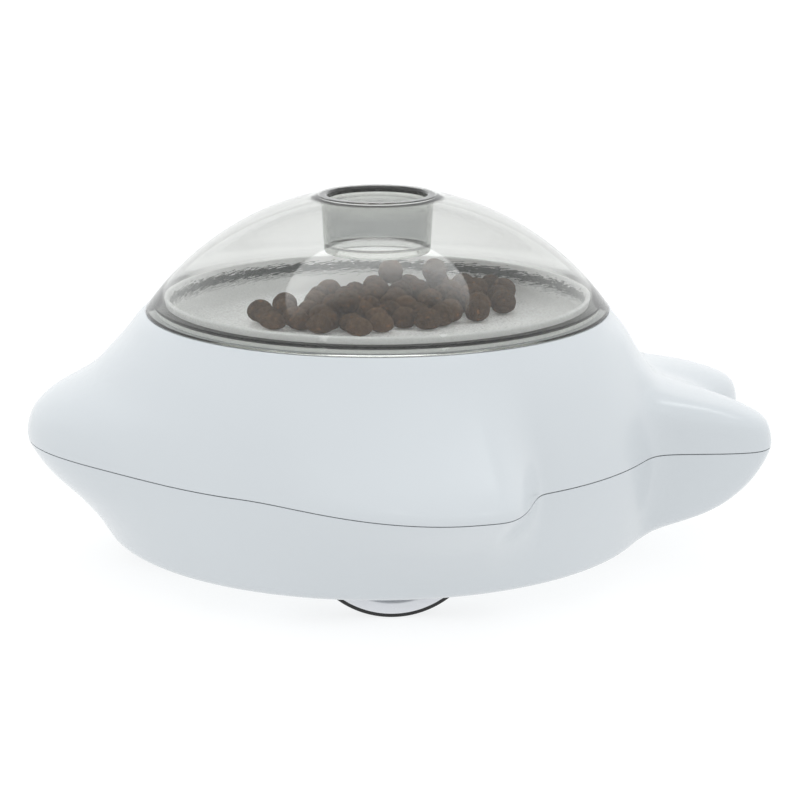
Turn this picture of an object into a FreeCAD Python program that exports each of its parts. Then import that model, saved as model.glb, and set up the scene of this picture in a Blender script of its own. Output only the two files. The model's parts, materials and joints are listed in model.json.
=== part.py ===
import FreeCAD, Part
import math
import os
import random
import re
from types import SimpleNamespace

import Sketcher

# Push button treat dispenser: a white two-part shell on two driven wheels, a
# clear dome over a tray of treats, and a rotor that drops treats down a chute.
# Millimetres. +X points at the tail, +Z is up, and z = 0 is the floor. Inside a
# piece's own numbers, x = 0 is the dome's axis and z = 0 the flat base.

doc = FreeCAD.newDocument("TreatDispenser")
sheet = doc.addObject("Spreadsheet::Sheet", "Sizes")

drivingSizes = [
    ("ball_radius", 95.2, "radius of the shell's ball-shaped shoulder"),
    ("rim_radius", 75.5, "shell radius where the dome stands"),
    ("rim_height", 72.1, "rim above the flat base"),
    ("seam_height", 31.1, "parting line above the flat base"),
    ("base_radius", 88.1, "shell radius at the flat base"),
    ("base_round", 3, "rounding round the flat base"),
    ("wall", 2.5, "shell wall"),
    ("seam_gap", 0.3, "groove between the two shells"),
    ("rim_ledge", 5.5, "width of the ring that the dome stands on"),
    ("nose_reach", 21, "nose beyond the ball"),
    ("tail_reach", 36, "tail lobes beyond the ball"),
    ("flipper_reach", 22, "side fins beyond the ball"),
    ("ride_height", 10.2, "flat base above the floor"),
    ("dome_rise", 38.8, "dome's crown above the rim"),
    ("dome_wall", 1.6, "dome wall"),
    ("bore_radius", 16, "fill tube, inside"),
    ("tube_wall", 1.2, "fill tube wall at its lower end"),
    ("tube_flare", 1, "fill tube wall added at its mouth"),
    ("tube_length", 19, "fill tube, from its mouth down"),
    ("lip_width", 1.9, "inward lip at the tube's lower end"),
    ("lip_height", 3, "height of that lip"),
    ("seat_gap", 0.1, "under a piece that only stands on its seat"),
    ("tray_sink", 7.3, "tray floor below the rim"),
    ("tray_floor", 2.2, "tray floor thickness"),
    ("tray_wall", 1.6, "tray side wall"),
    ("tray_lip", 4.7, "tray lip above the rim"),
    ("tray_gap", 0.6, "round the tray in the shell's opening"),
    ("flange_reach", 2.5, "tray flange beyond its side"),
    ("flange_thick", 1.4, "tray flange thickness"),
    ("seal_height", 1.5, "black ring, height"),
    ("seal_width", 1.4, "black ring, width"),
    ("rotor_radius", 42, "dispensing rotor"),
    ("rotor_height", 11.5, "dispensing rotor, thickness"),
    ("pocket_radius", 7, "one treat pocket"),
    ("pocket_circle", 32, "pockets' distance from the axis"),
    ("run_gap", 0.4, "beside a turning face"),
    ("cup_wall", 3, "metering cup wall"),
    ("cup_floor", 2.5, "metering cup floor"),
    ("cup_flange", 6, "cup flange beyond its wall"),
    ("cup_flange_thick", 3, "cup flange"),
    ("cup_screw_reach", 3.2, "cup screws beyond its wall"),
    ("window_radius", 8, "tray window and cup outlet"),
    ("chute_bore", 8.3, "chute, inside radius"),
    ("chute_wall", 1.4, "chute wall"),
    ("chute_flange", 1.6, "chute's top flange beyond its side"),
    ("chute_flange_thick", 2, "chute's top flange"),
    ("chute_foot", 1, "chute's lower end above the base"),
    ("collar_wall", 2, "shell's collar round the chute"),
    ("collar_height", 7, "shell's collar round the chute"),
    ("shaft_radius", 3, "rotor shaft"),
    ("shaft_fit", 0.05, "round a shaft in its bore"),
    ("gear_teeth", 48, "teeth on each big gear"),
    ("pinion_teeth", 12, "teeth on each pinion"),
    ("rotor_module", 0.8, "tooth size, rotor gears"),
    ("wheel_module", 0.5, "tooth size, wheel gears"),
    ("gear_width", 4, "gear face width"),
    ("backlash", 0.14, "play between teeth"),
    ("gear_headroom", 3, "above the rotor gear"),
    ("gear_gap", 2, "below the rotor gear"),
    ("gear_stand", 1.6, "wheel gear in front of its bracket"),
    ("gear_clear", 2.1, "between a wheel gear and the well"),
    ("gear_boss", 0.8, "boss on a wheel gear"),
    ("plate_thick", 2, "gear plate and motor brackets"),
    ("motor_radius", 10, "all three motors"),
    ("motor_length", 25, "all three motors"),
    ("motor_shaft", 1, "motor shaft radius"),
    ("motor_nose", 3, "radius of a motor's round nose"),
    ("nose_length", 1.2, "a motor's round nose"),
    ("motor_gap", 0.05, "between a motor and its plate"),
    ("spindle_end", 0.5, "motor shaft beyond its pinion"),
    ("post_radius", 3, "gear plate and board posts"),
    ("post_gap", 2.5, "between a post and the rotor gear"),
    ("hole_gap", 0.2, "round a screw or a nose in its hole"),
    ("wheel_radius", 28, "drive wheel over its tyre"),
    ("wheel_width", 8, "drive wheel"),
    ("wheel_face", 72, "outer wheel face from the middle"),
    ("tyre_wall", 1.2, "tyre thickness"),
    ("tyre_side", 0.3, "tyre edge inside the wheel's faces"),
    ("tyre_bevel", 0.5, "tyre edge"),
    ("hub_radius", 9, "wheel's boss round its axle"),
    ("web_depth", 2.5, "wheel's web below its outer face"),
    ("rim_wall", 3, "wheel's rim under the tyre, inner side"),
    ("rim_face", 5, "wheel's rim under the tyre, outer side"),
    ("axle_radius", 2, "wheel axle"),
    ("bush_wall", 2, "axle bush"),
    ("well_gap", 2.5, "round a wheel in its well"),
    ("well_side", 1.3, "beside a wheel in its well"),
    ("well_wall", 1.7, "wheel well wall"),
    ("caster_reach", 66, "caster pivot ahead of the dome axis"),
    ("caster_radius", 9, "caster wheel"),
    ("caster_width", 8, "caster wheel"),
    ("caster_trail", 6, "caster wheel behind its pivot"),
    ("caster_gap", 0.3, "beside the caster wheel"),
    ("caster_headroom", 2, "above the caster wheel"),
    ("caster_swing", 1.3, "round the caster as it swivels"),
    ("stem_boss", 6.5, "stem's boss above the caster pocket"),
    ("stem_boss_wall", 3, "stem's boss"),
    ("clip_thick", 1, "clip that holds the stem"),
    ("pin_fit", 0.02, "round a pressed pin"),
    ("fork_wall", 2, "caster fork"),
    ("stem_radius", 2.5, "caster stem"),
    ("pin_radius", 1.5, "caster wheel pin"),
    ("button_radius", 7.5, "push button"),
    ("button_height", 21.3, "button axis above the base"),
    ("button_proud", 6, "button beyond its seat"),
    ("button_travel", 2.5, "push of the button"),
    ("button_fit", 0.3, "round the button"),
    ("bezel_wall", 1.7, "ring round the button"),
    ("bezel_thick", 1.2, "ring round the button"),
    ("seat_wall", 2, "shell round the button's seat"),
    ("button_rest", 0.3, "between the button's flange and its stop"),
    ("button_flange", 1.6, "button's flange beyond its side"),
    ("button_flange_thick", 1.8, "button's flange"),
    ("plunger_radius", 2, "button's plunger"),
    ("spring_length", 9.8, "button spring"),
    ("spring_radius", 6.2, "button spring, outside"),
    ("spring_wire", 1, "button spring"),
    ("switch_half", 3, "touch switch"),
    ("switch_height", 3.4, "touch switch without its dot"),
    ("switch_dot", 0.8, "touch switch's dot"),
    ("press_gap", 0.2, "left above the switch at full travel"),
    ("cell_radius", 9.25, "battery cell"),
    ("cell_length", 65, "battery cell"),
    ("cell_fit", 0.15, "round the cell"),
    ("cell_room", 1, "at each end of the cell"),
    ("cell_rest", 0.5, "under the cell"),
    ("battery_gap", 5.15, "between a motor and the battery holder"),
    ("holder_wall", 1.6, "battery holder wall"),
    ("door_thick", 2, "battery door"),
    ("door_gap", 0.3, "round the battery door"),
    ("board_thick", 1.6, "circuit boards"),
    ("board_height", 27, "main board above the base"),
    ("board_length", 42, "main board"),
    ("board_width", 52, "main board"),
    ("board_shift", 11, "main board's middle behind the cell"),
    ("board_hole_x", 8, "main board's screws behind its middle"),
    ("board_hole_y", 21, "main board's screws to each side"),
    ("slider_travel", 3, "power switch"),
    ("port_reach", 78, "charge port behind the dome axis"),
    ("port_side", 14, "port and switch from the middle"),
    ("glide_reach", 70, "rear glide behind the dome axis"),
    ("glide_radius", 6, "rear glide"),
    ("screw_radius", 1.5, "all screws"),
    ("head_radius", 2.8, "screw heads"),
    ("head_height", 1.8, "screw heads"),
    ("head_gap", 0.3, "round a screw head in its recess"),
    ("head_sink", 0.9, "shell screw heads above the base"),
    ("boss_radius", 3.8, "shell screw posts"),
    ("boss_circle", 79, "shell screws from the dome axis"),
    ("treat_radius", 4.4, "one treat"),
    ("treat_gap", 0.15, "least gap between treats"),
]
for row, (alias, number, words) in enumerate(drivingSizes, 1):
    sheet.set(f"A{row}", words)
    sheet.set(f"B{row}", str(number))
    sheet.setAlias(f"B{row}", alias)
doc.recompute()
size = SimpleNamespace(**{alias: float(sheet.get(alias)) for alias, _, _ in drivingSizes})
aliases = [alias for alias, _, _ in drivingSizes]


def addWorkedOut(alias, number, words):
    # a size that follows from the shell's surface gets a cell as well
    row = len(aliases) + 1
    sheet.set(f"A{row}", words)
    sheet.set(f"B{row}", str(round(number, 3)))
    sheet.setAlias(f"B{row}", alias)
    aliases.append(alias)
    doc.recompute()
    setattr(size, alias, float(sheet.get(alias)))


# Outer surface of the body, as a radius about the dome axis.

ballCentre = size.rim_height - math.sqrt(size.ball_radius ** 2 - size.rim_radius ** 2)
seamRadius = math.sqrt(size.ball_radius ** 2 - (size.seam_height - ballCentre) ** 2)
noseSpread = 24          # degrees to each side, bell shaped
tailSpread = 21.6        # degrees to each side, with firm edges
tailEdge = 1.6           # degrees over which a tail edge fades
notchDepth = 0.45        # share of the reach lost between the lobes
notchSpread = 8          # degrees
finFront = (60, 100)     # degrees from the nose, where a fin swells
finBack = (104, 119)     # and where it ends

# Share of the full reach at a height: 0 is the base, 1 the seam, 2 the rim.
noseShape = [(0, 0), (0.2, 0.1), (0.43, 0.33), (0.73, 0.74), (1.05, 1), (1.24, 0.98),
             (1.37, 0.78), (1.49, 0.42), (1.63, 0.21), (1.83, 0.08), (2, 0)]
tailShape = [(0, 0), (0.13, 0.16), (0.27, 0.49), (0.47, 0.73), (0.74, 0.9), (1.05, 1),
             (1.21, 0.98), (1.3, 0.8), (1.39, 0.43), (1.45, 0.16), (1.6, 0.04), (2, 0)]
finShape = [(0, 0), (0.27, 0.09), (0.6, 0.38), (0.86, 0.78), (1.02, 1), (1.15, 0.88),
            (1.34, 0.57), (1.54, 0.29), (1.74, 0.1), (2, 0)]


def smooth(share):
    share = min(max(share, 0), 1)
    return share * share * (3 - 2 * share)


def alongCurve(at, points):
    # smooth curve through hand-set points, level with its neighbours' slope
    at = min(max(at, points[0][0]), points[-1][0])
    last = len(points) - 1
    i = max(k for k in range(last) if points[k][0] <= at)
    slopes = []
    for k in (i, i + 1):
        before, after = points[max(k - 1, 0)], points[min(k + 1, last)]
        slopes.append((after[1] - before[1]) / (after[0] - before[0]))
    (x0, y0), (x1, y1) = points[i], points[i + 1]
    span = x1 - x0
    u = (at - x0) / span
    return (y0 * (1 + 2 * u) * (1 - u) ** 2 + y1 * u * u * (3 - 2 * u)
            + span * u * (1 - u) * (slopes[0] * (1 - u) - slopes[1] * u))


def outerRadius(degrees, height):
    # degrees run from the tail at 0 to the nose at 180
    fromTail = abs((degrees + 180) % 360 - 180)
    fromNose = 180 - fromTail
    if height > size.seam_height:
        ball = math.sqrt(max(size.ball_radius ** 2 - (height - ballCentre) ** 2, 1))
        level = 1 + (height - size.seam_height) / (size.rim_height - size.seam_height)
    else:
        level = max(height, 0) / size.seam_height
        ball = size.base_radius + (seamRadius - size.base_radius) * math.sin(math.pi / 2 * level)
    nose = size.nose_reach * alongCurve(level, noseShape) * math.exp(-((fromNose / noseSpread) ** 2))
    tail = size.tail_reach * alongCurve(level, tailShape)
    tail *= 1 / (1 + math.exp((fromTail - tailSpread) / tailEdge))
    tail *= 1 - notchDepth * math.exp(-((fromTail / notchSpread) ** 2))
    fin = size.flipper_reach * alongCurve(level, finShape)
    fin *= smooth((fromNose - finFront[0]) / (finFront[1] - finFront[0]))
    fin *= 1 - smooth((fromNose - finBack[0]) / (finBack[1] - finBack[0]))
    below = min(max(size.base_round - height, 0), size.base_round)
    rounding = size.base_round - math.sqrt(size.base_round ** 2 - below ** 2)
    return ball + nose + tail + fin - rounding


def innerRadius(degrees, height):
    # the outer surface moved in by the wall, sideways, along and up and down
    here = outerRadius(degrees, height)
    turn = math.degrees(size.wall / here)
    slant = size.wall * math.sqrt(0.5)
    around = [outerRadius(degrees + side * turn, height) for side in (-1, 1)]
    around += [outerRadius(degrees, height + side * size.wall) for side in (-1, 1)]
    edges = [outerRadius(degrees, height + side * slant) - slant for side in (-1, 1)]
    return min(around + edges + [here - size.wall])


def skin(radiusAt, heights):
    # solid through one closed smooth outline for each height, all with the same
    # knots, so that the surface stays light
    steps = 150
    knots = [step / steps for step in range(steps + 1)]
    outlines = []
    for height in heights:
        points = []
        for step in range(steps):
            degrees = 180 + 360 * step / steps
            radius = radiusAt(degrees, height)
            turn = math.radians(degrees)
            points.append(FreeCAD.Vector(radius * math.cos(turn), radius * math.sin(turn), height))
        curve = Part.BSplineCurve()
        curve.interpolate(Points=points, PeriodicFlag=True, Parameters=knots)
        outlines.append(Part.Wire(curve.toShape()))
    return Part.makeLoft(outlines, True, False)


def levels(low, high, shares):
    return [low + (high - low) * share for share in shares]


sampledHeights = levels(0, size.rim_height, [k / 60 for k in range(61)])
tips = [outerRadius(turn, height) * math.cos(math.radians(turn))
        for turn in range(181) for height in sampledHeights]
addWorkedOut("dome_axis_x", -(min(tips) + max(tips)) / 2, "puts the middle of the length at x = 0")
bezelRadius = size.button_radius + size.button_fit + size.bezel_wall
buttonSeat = outerRadius(0, size.button_height - bezelRadius)
addWorkedOut("button_seat", buttonSeat, "button's seat behind the dome axis")


# Making and placing pieces. Every size is bound to the sheet.

def bound(words):
    # the same words, with the sheet's name before each of its sizes
    def withSheet(found):
        word = found.group()
        return "Sizes." + word if word in aliases else word

    return re.sub(r"[a-z]\w*", withSheet, words)


def place(piece, x="0", y="0", z="0", turn=None):
    if turn:
        piece.Placement = FreeCAD.Placement(FreeCAD.Vector(), FreeCAD.Rotation(*turn))
    piece.setExpression("Placement.Base.x", bound(f"dome_axis_x + {x}"))
    piece.setExpression("Placement.Base.y", bound(y))
    piece.setExpression("Placement.Base.z", bound(f"ride_height + {z}"))
    return piece


def named(kind, name):
    piece = doc.addObject(kind, name)
    piece.Label = name
    return piece


def drum(name, radius, height, x="0", y="0", z="0", turn=None):
    piece = named("Part::Cylinder", name)
    piece.setExpression("Radius", bound(radius))
    piece.setExpression("Height", bound(height))
    return place(piece, x, y, z, turn)


def ball(name, radius, x="0", y="0", z="0"):
    piece = named("Part::Sphere", name)
    piece.setExpression("Radius", bound(radius))
    return place(piece, x, y, z)


def joined(name, *pieces):
    piece = named("Part::MultiFuse", name)
    piece.Shapes = list(pieces)
    piece.Refine = True
    return piece


def less(name, base, *tools):
    piece = named("Part::Cut", name)
    piece.Base = base
    piece.Tool = tools[0] if len(tools) == 1 else joined(name + "_holes", *tools)
    return piece


def both(name, first, second):
    piece = named("Part::Common", name)
    piece.Base = first
    piece.Tool = second
    return piece


def solidPiece(name, shape):
    piece = named("Part::Feature", name)
    piece.Shape = shape
    return place(piece)


def originPlane(body, role):
    return next(plane for plane in body.Origin.OriginFeatures if plane.Role == role)


def newSketch(body, name, role):
    sketch = body.newObject("Sketcher::SketchObject", name)
    sketch.AttachmentSupport = [(originPlane(body, role), "")]
    sketch.MapMode = "FlatFace"
    return sketch


def drawOutline(sketch, corners):
    # closed outline through corners, each given as two sizes in words
    count = len(corners)
    first = sketch.GeometryCount
    guesses = [FreeCAD.Vector(50 + 40 * math.cos(2 * math.pi * k / count),
                              50 + 40 * math.sin(2 * math.pi * k / count), 0) for k in range(count)]
    for k in range(count):
        sketch.addGeometry(Part.LineSegment(guesses[k], guesses[(k + 1) % count]))
    for k in range(count):
        sketch.addConstraint(Sketcher.Constraint("Coincident", first + k, 2, first + (k + 1) % count, 1))
    for k, (across, up) in enumerate(corners):
        for kind, words in (("DistanceX", across), ("DistanceY", up)):
            number = sketch.addConstraint(Sketcher.Constraint(kind, -1, 1, first + k, 1, 1.0))
            sketch.setExpression(f"Constraints[{number}]", bound(words))


def drawCircle(sketch, x, y, radius):
    index = sketch.addGeometry(Part.Circle(FreeCAD.Vector(5, 5, 0), FreeCAD.Vector(0, 0, 1), 2))
    for constraint, words in ((Sketcher.Constraint("DistanceX", -1, 1, index, 3, 1.0), x),
                              (Sketcher.Constraint("DistanceY", -1, 1, index, 3, 1.0), y),
                              (Sketcher.Constraint("Radius", index, 2.0), radius)):
        number = sketch.addConstraint(constraint)
        sketch.setExpression(f"Constraints[{number}]", bound(words))


def turned(name, corners, x="0", y="0", z="0", turn=None):
    # a piece turned about its own upright axis; corners are (radius, height)
    body = named("PartDesign::Body", name)
    sketch = newSketch(body, name + "_profile", "XZ_Plane")
    drawOutline(sketch, corners)
    feature = body.newObject("PartDesign::Revolution", name + "_turned")
    feature.Profile = sketch
    feature.ReferenceAxis = (sketch, ["V_Axis"])
    feature.Angle = 360
    return place(body, x, y, z, turn)


def plate(name, corners, thickness, holes=(), x="0", y="0", z="0", turn=None):
    # flat piece in its own XY plane, its outline first and then round holes
    body = named("PartDesign::Body", name)
    sketch = newSketch(body, name + "_outline", "XY_Plane")
    drawOutline(sketch, corners)
    for hole in holes:
        drawCircle(sketch, *hole)
    feature = body.newObject("PartDesign::Pad", name + "_plate")
    feature.Profile = sketch
    feature.setExpression("Length", bound(thickness))
    return place(body, x, y, z, turn)


def bored(body, name, role, holes, depth=None):
    # round holes through a body, or as deep as said, from its own plane
    sketch = newSketch(body, name, role)
    for hole in holes:
        drawCircle(sketch, *hole)
    feature = body.newObject("PartDesign::Pocket", name + "_cut")
    feature.Profile = sketch
    feature.Type = 1 if depth is None else 0
    feature.Midplane = depth is None
    if depth:
        feature.setExpression("Length", bound(depth))
        feature.Reversed = True
    return feature


def rectangle(length, width):
    x, y = f"{length} / 2", f"{width} / 2"
    return [(f"-{x}", f"-{y}"), (x, f"-{y}"), (x, y), (f"-{x}", y)]


def rod(radius, height, x=0, y=0, z=0, direction=(0, 0, 1)):
    return Part.makeCylinder(radius, height, FreeCAD.Vector(x, y, z), FreeCAD.Vector(*direction))


def slab(low, high):
    sides = [high[k] - low[k] for k in range(3)]
    return Part.makeBox(*sides, FreeCAD.Vector(*low))


towardTail = (1, 0, 0)
towardFar = (0, 1, 0)
windowTurn = 60          # degrees from the tail to the tray's window
pocketCount = 6
footing = 1              # posts start this far above the base, inside the floor
past = 1                 # a cut runs this far past the face that it opens
beyond = 60              # longer than whatever a long cut goes through
screwTurns = [45, 135, 225, 315]

# Places that follow from other sizes, so that a bigger motor, cell or wheel
# moves what stands beside it. Heights are above the flat base.
addWorkedOut("tray_side", size.rim_radius - size.rim_ledge - size.tray_gap, "tray's outer side")
addWorkedOut("cup_top", size.rim_height - size.tray_sink - size.tray_floor, "underside of the tray")
addWorkedOut("cup_inner", size.rotor_radius + size.run_gap, "inside of the metering cup")
addWorkedOut("cup_outer", size.cup_inner + size.cup_wall, "outside of the metering cup")
addWorkedOut("cup_screws_reach", size.cup_outer + size.cup_screw_reach, "cup screws from the dome axis")
addWorkedOut("rotor_under", size.cup_top - size.run_gap - size.rotor_height, "underside of the rotor")
addWorkedOut("cup_under", size.rotor_under - size.run_gap - size.cup_floor, "underside of the cup")
addWorkedOut("gear_under", size.cup_under - size.gear_headroom - size.gear_width, "underside of rotor gear")
addWorkedOut("plate_under", size.gear_under - size.gear_gap - size.plate_thick, "underside of the gear plate")
addWorkedOut("rotor_gears", size.rotor_module * (size.gear_teeth + size.pinion_teeth) / 2,
             "between the rotor gears' axes")
addWorkedOut("wheel_gears", size.wheel_module * (size.gear_teeth + size.pinion_teeth) / 2,
             "between the wheel gears' axes")
addWorkedOut("side_post_reach", size.rotor_module * (size.gear_teeth + 2) / 2 + size.post_radius
             + size.post_gap, "gear plate's side posts from the dome axis")
addWorkedOut("motor_post_reach", size.rotor_gears + size.motor_radius + size.head_radius + size.run_gap,
             "gear plate's third post, behind the motor")
addWorkedOut("battery_reach", size.rotor_gears + size.motor_radius + size.battery_gap + size.holder_wall
             + size.cell_radius, "cell's axis behind the dome axis")
addWorkedOut("board_reach", size.battery_reach + size.board_shift, "main board's middle")
addWorkedOut("axle_height", size.wheel_radius - size.ride_height, "wheel axle above the base")
addWorkedOut("hub_inner", size.wheel_face - size.wheel_width, "inner wheel face from the middle")
addWorkedOut("well_inner", size.hub_inner - size.well_side - size.well_wall, "wheel well's inner face")
addWorkedOut("well_outer", size.wheel_face + size.well_side + size.well_wall, "wheel well's outer face")
addWorkedOut("bracket_face", size.well_inner - size.gear_clear - size.gear_width - size.gear_stand,
             "motor bracket's outer face from the middle")


def onCircle(radius, turn):
    return radius * math.cos(math.radians(turn)), radius * math.sin(math.radians(turn))


def onCircleWords(radius, turn):
    return f"{radius} * cos({turn} deg)", f"{radius} * sin({turn} deg)"


def post(radius, x, y, top):
    return rod(radius, top - footing, x, y, footing)


def hole(radius, x, y, top):
    # round hole from below the base up to a height
    return rod(radius, top + past, x, y, -past)


def arch(radius, low, high, foot):
    # upright walls under a half round roof about the wheels' axle
    roof = rod(radius, high - low, 0, low, size.axle_height, towardFar)
    roof = roof.common(slab((-radius, low, size.axle_height), (radius, high, size.axle_height + radius)))
    return roof.fuse(slab((-radius, low, foot), (radius, high, size.axle_height)))


def alongButton(radius, start, length):
    return rod(radius, length, start, 0, size.button_height, towardTail)


# Shells: each an outer skin less an inner one.

gap = size.seam_gap / 2
lowerLevels = levels(0, size.base_round, [0, 0.1, 0.33, 0.67, 1])
lowerLevels += levels(size.base_round, size.seam_height - gap, [0.13, 0.26, 0.4, 0.55, 0.7, 0.85, 1])
upperLevels = levels(size.seam_height + gap, size.rim_height,
                     [0, 0.09, 0.18, 0.25, 0.31, 0.37, 0.43, 0.5, 0.6, 0.72, 0.86, 1])
lowerRoom = levels(size.wall, size.seam_height, [0, 0.12, 0.26, 0.4, 0.6, 0.8, 1])
upperRoom = levels(size.seam_height, size.rim_height - size.wall,
                   [0, 0.1, 0.2, 0.28, 0.35, 0.42, 0.5, 0.6, 0.72, 0.86, 1])
lowerOuter = skin(outerRadius, lowerLevels)
upperOuter = skin(outerRadius, upperLevels)
lowerHollow = skin(innerRadius, lowerRoom)
upperHollow = skin(innerRadius, upperRoom)

# What the lower shell gains inside its hollow, and then what is cut from it.
added, removed = [], []

# wheel wells and their bush bores
wellRadius = size.wheel_radius + size.well_gap
bushRadius = size.axle_radius + size.bush_wall
for side in (-1, 1):
    low, high = sorted((side * size.well_inner, side * size.well_outer))
    added.append(arch(wellRadius + size.well_wall, low, high, 0))
    removed.append(arch(wellRadius, low + size.well_wall, high - size.well_wall, -past))
    low, high = sorted((side * (size.well_inner - past), side * (size.well_inner + size.well_wall + past)))
    removed.append(rod(bushRadius + size.shaft_fit, high - low, 0, low, size.axle_height, towardFar))

# four posts for the shell screws, whose heads sink into the base
bossPlaces = [onCircle(size.boss_circle, turn) for turn in screwTurns]
bossTop = size.seam_height - 2 * size.seam_gap
for x, y in bossPlaces:
    added.append(post(size.boss_radius, x, y, bossTop))
    removed.append(hole(size.screw_radius + size.hole_gap, x, y, bossTop + past))
    removed.append(hole(size.head_radius + size.head_gap, x, y,
                        size.head_sink + size.head_height + size.seat_gap))

# collar round the chute
chuteOuter = size.chute_bore + size.chute_wall
added.append(post(chuteOuter + size.collar_wall, -size.pocket_circle, 0, size.collar_height))
removed.append(hole(chuteOuter + size.hole_gap, -size.pocket_circle, 0, size.collar_height + past))

# caster pocket with its stem boss
casterAxle = size.caster_radius - size.ride_height
forkTop = casterAxle + size.caster_radius + size.caster_headroom + size.fork_wall
swing = math.hypot(size.caster_trail + size.caster_radius, size.caster_width / 2 + size.fork_wall)
pocketRadius = swing + size.caster_swing
pocketRoof = forkTop + size.run_gap
stemBossTop = pocketRoof + size.wall + size.stem_boss
added.append(post(pocketRadius + size.wall, -size.caster_reach, 0, pocketRoof + size.wall))
added.append(post(size.stem_radius + size.stem_boss_wall, -size.caster_reach, 0, stemBossTop))
removed.append(hole(pocketRadius, -size.caster_reach, 0, pocketRoof))
removed.append(hole(size.stem_radius + size.shaft_fit, -size.caster_reach, 0, stemBossTop + past))

# button seat between the tail lobes
behindSeat = size.button_seat - 2 * size.wall
seatDepth = 20           # deeper than the tail is thick there
clearInside = 10         # the button's bore also clears this much before the seat
added.append(alongButton(bezelRadius + size.seat_wall, behindSeat, seatDepth).common(lowerOuter))
buttonWell = alongButton(bezelRadius + size.hole_gap, size.button_seat, beyond)
buttonBore = alongButton(size.button_radius + size.button_fit, behindSeat - clearInside, beyond)
removed += [buttonWell, buttonBore]

# battery door's opening, with its screw post and the slot for the door's tab
doorHalfX = size.cell_radius + size.holder_wall
doorHalfY = size.cell_length / 2 + size.holder_wall + size.cell_room
doorPost = SimpleNamespace(radius=4, top=9)
doorTab = SimpleNamespace(half=4.7, length=8.2)
doorScrewY = doorHalfY + doorPost.radius
openingTop = 10          # above the floor, inside the hollow
added.append(post(doorPost.radius, size.battery_reach, doorScrewY, doorPost.top))
removed.append(slab((size.battery_reach - doorHalfX, -doorHalfY, -past),
                    (size.battery_reach + doorHalfX, doorHalfY, openingTop)))
removed.append(hole(size.screw_radius, size.battery_reach, doorScrewY, doorPost.top - 2))
removed.append(slab((size.battery_reach - doorTab.half - size.door_gap, doorHalfY - past, -past),
                    (size.battery_reach + doorTab.half + size.door_gap,
                     doorHalfY + doorTab.length + size.door_gap, size.door_thick + size.door_gap)))

# charge port, power switch slot, main board posts and the rear glide's boss
portHalf = SimpleNamespace(x=1.8, y=4.6)
sliderHalf = SimpleNamespace(x=2, y=3)
slotHalf = SimpleNamespace(x=sliderHalf.x + size.button_fit,
                           y=sliderHalf.y + size.button_fit + size.slider_travel / 2)
removed.append(slab((size.port_reach - portHalf.x, -size.port_side - portHalf.y, -past),
                    (size.port_reach + portHalf.x, -size.port_side + portHalf.y, openingTop)))
removed.append(slab((size.port_reach - slotHalf.x, size.port_side - slotHalf.y, -past),
                    (size.port_reach + slotHalf.x, size.port_side + slotHalf.y, openingTop)))
boardPosts = [(size.board_reach + size.board_hole_x, side * size.board_hole_y) for side in (-1, 1)]
boardScrewDepth = 10
for x, y in boardPosts:
    added.append(post(size.post_radius, x, y, size.board_height - size.seat_gap))
    removed.append(rod(size.screw_radius, boardScrewDepth, x, y, size.board_height - boardScrewDepth))
glidePeg = SimpleNamespace(radius=2, top=5, boss=5, bossTop=8)
added.append(post(glidePeg.boss, size.glide_reach, 0, glidePeg.bossTop))
removed.append(hole(glidePeg.radius + size.shaft_fit, size.glide_reach, 0, glidePeg.top + past))

# slotted feet for the two motor brackets
bracket = SimpleNamespace(front=14, back=6, shoulder=2, footHalf=3, footSide=4, footTop=6)
bracketBack = size.wheel_gears + size.motor_radius + bracket.back
for side in (-1, 1):
    low, high = sorted((side * (size.bracket_face - size.plate_thick), side * size.bracket_face))
    middle = (low + high) / 2
    for x in (bracket.footHalf + 1 - bracket.front, bracketBack - bracket.footHalf + 1):
        added.append(slab((x - bracket.footHalf, middle - bracket.footSide, footing),
                          (x + bracket.footHalf, middle + bracket.footSide, bracket.footTop)))
    removed.append(slab((-bracket.front - bracket.back, low - size.seat_gap, size.wall),
                        (bracketBack + bracket.back, high + size.seat_gap, bracket.footTop + past)))

# ribs that hold the button's small board
flangeFace = size.button_seat - 2 * size.wall - size.button_rest
springTop = flangeFace - size.button_flange_thick - size.seat_gap
springFoot = springTop - size.spring_length
switchFace = springFoot - size.seat_gap
smallBoardLow = switchFace - size.board_thick
rib = SimpleNamespace(near=9, far=13, thick=2, top=12)
smallBoardHalf = 12
for side in (-1, 1):
    low, high = sorted((side * rib.near, side * rib.far))
    added.append(slab((smallBoardLow - rib.thick, low, footing), (switchFace + rib.thick, high, rib.top)))
    removed.append(slab((smallBoardLow - size.seat_gap, low - past, size.wall),
                        (switchFace + size.seat_gap, high + past, rib.top + past)))
solidPiece("lower_shell", lowerOuter.cut(lowerHollow).fuse(added).cut(removed))

# The upper shell's posts reach down to the lower ones.
bossFoot = bossTop + size.seam_gap
screwGrip = 12           # length of screw in an upper post
posts, screwBores = [], []
for x, y in bossPlaces:
    upperPost = rod(size.boss_radius, size.rim_height, x, y, size.seam_height + gap).common(upperOuter)
    posts.append(upperPost.fuse(rod(size.boss_radius, size.seam_gap + footing, x, y, bossFoot)))
    screwBores.append(rod(size.screw_radius, screwGrip, x, y, bossFoot - past))
opening = rod(size.rim_radius - size.rim_ledge, beyond, 0, 0, size.rim_height - beyond / 2)
upperShell = upperOuter.cut([upperHollow, opening]).fuse(posts)
solidPiece("upper_shell", upperShell.cut(screwBores + [buttonWell]))


# Dome with its fill tube.

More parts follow.
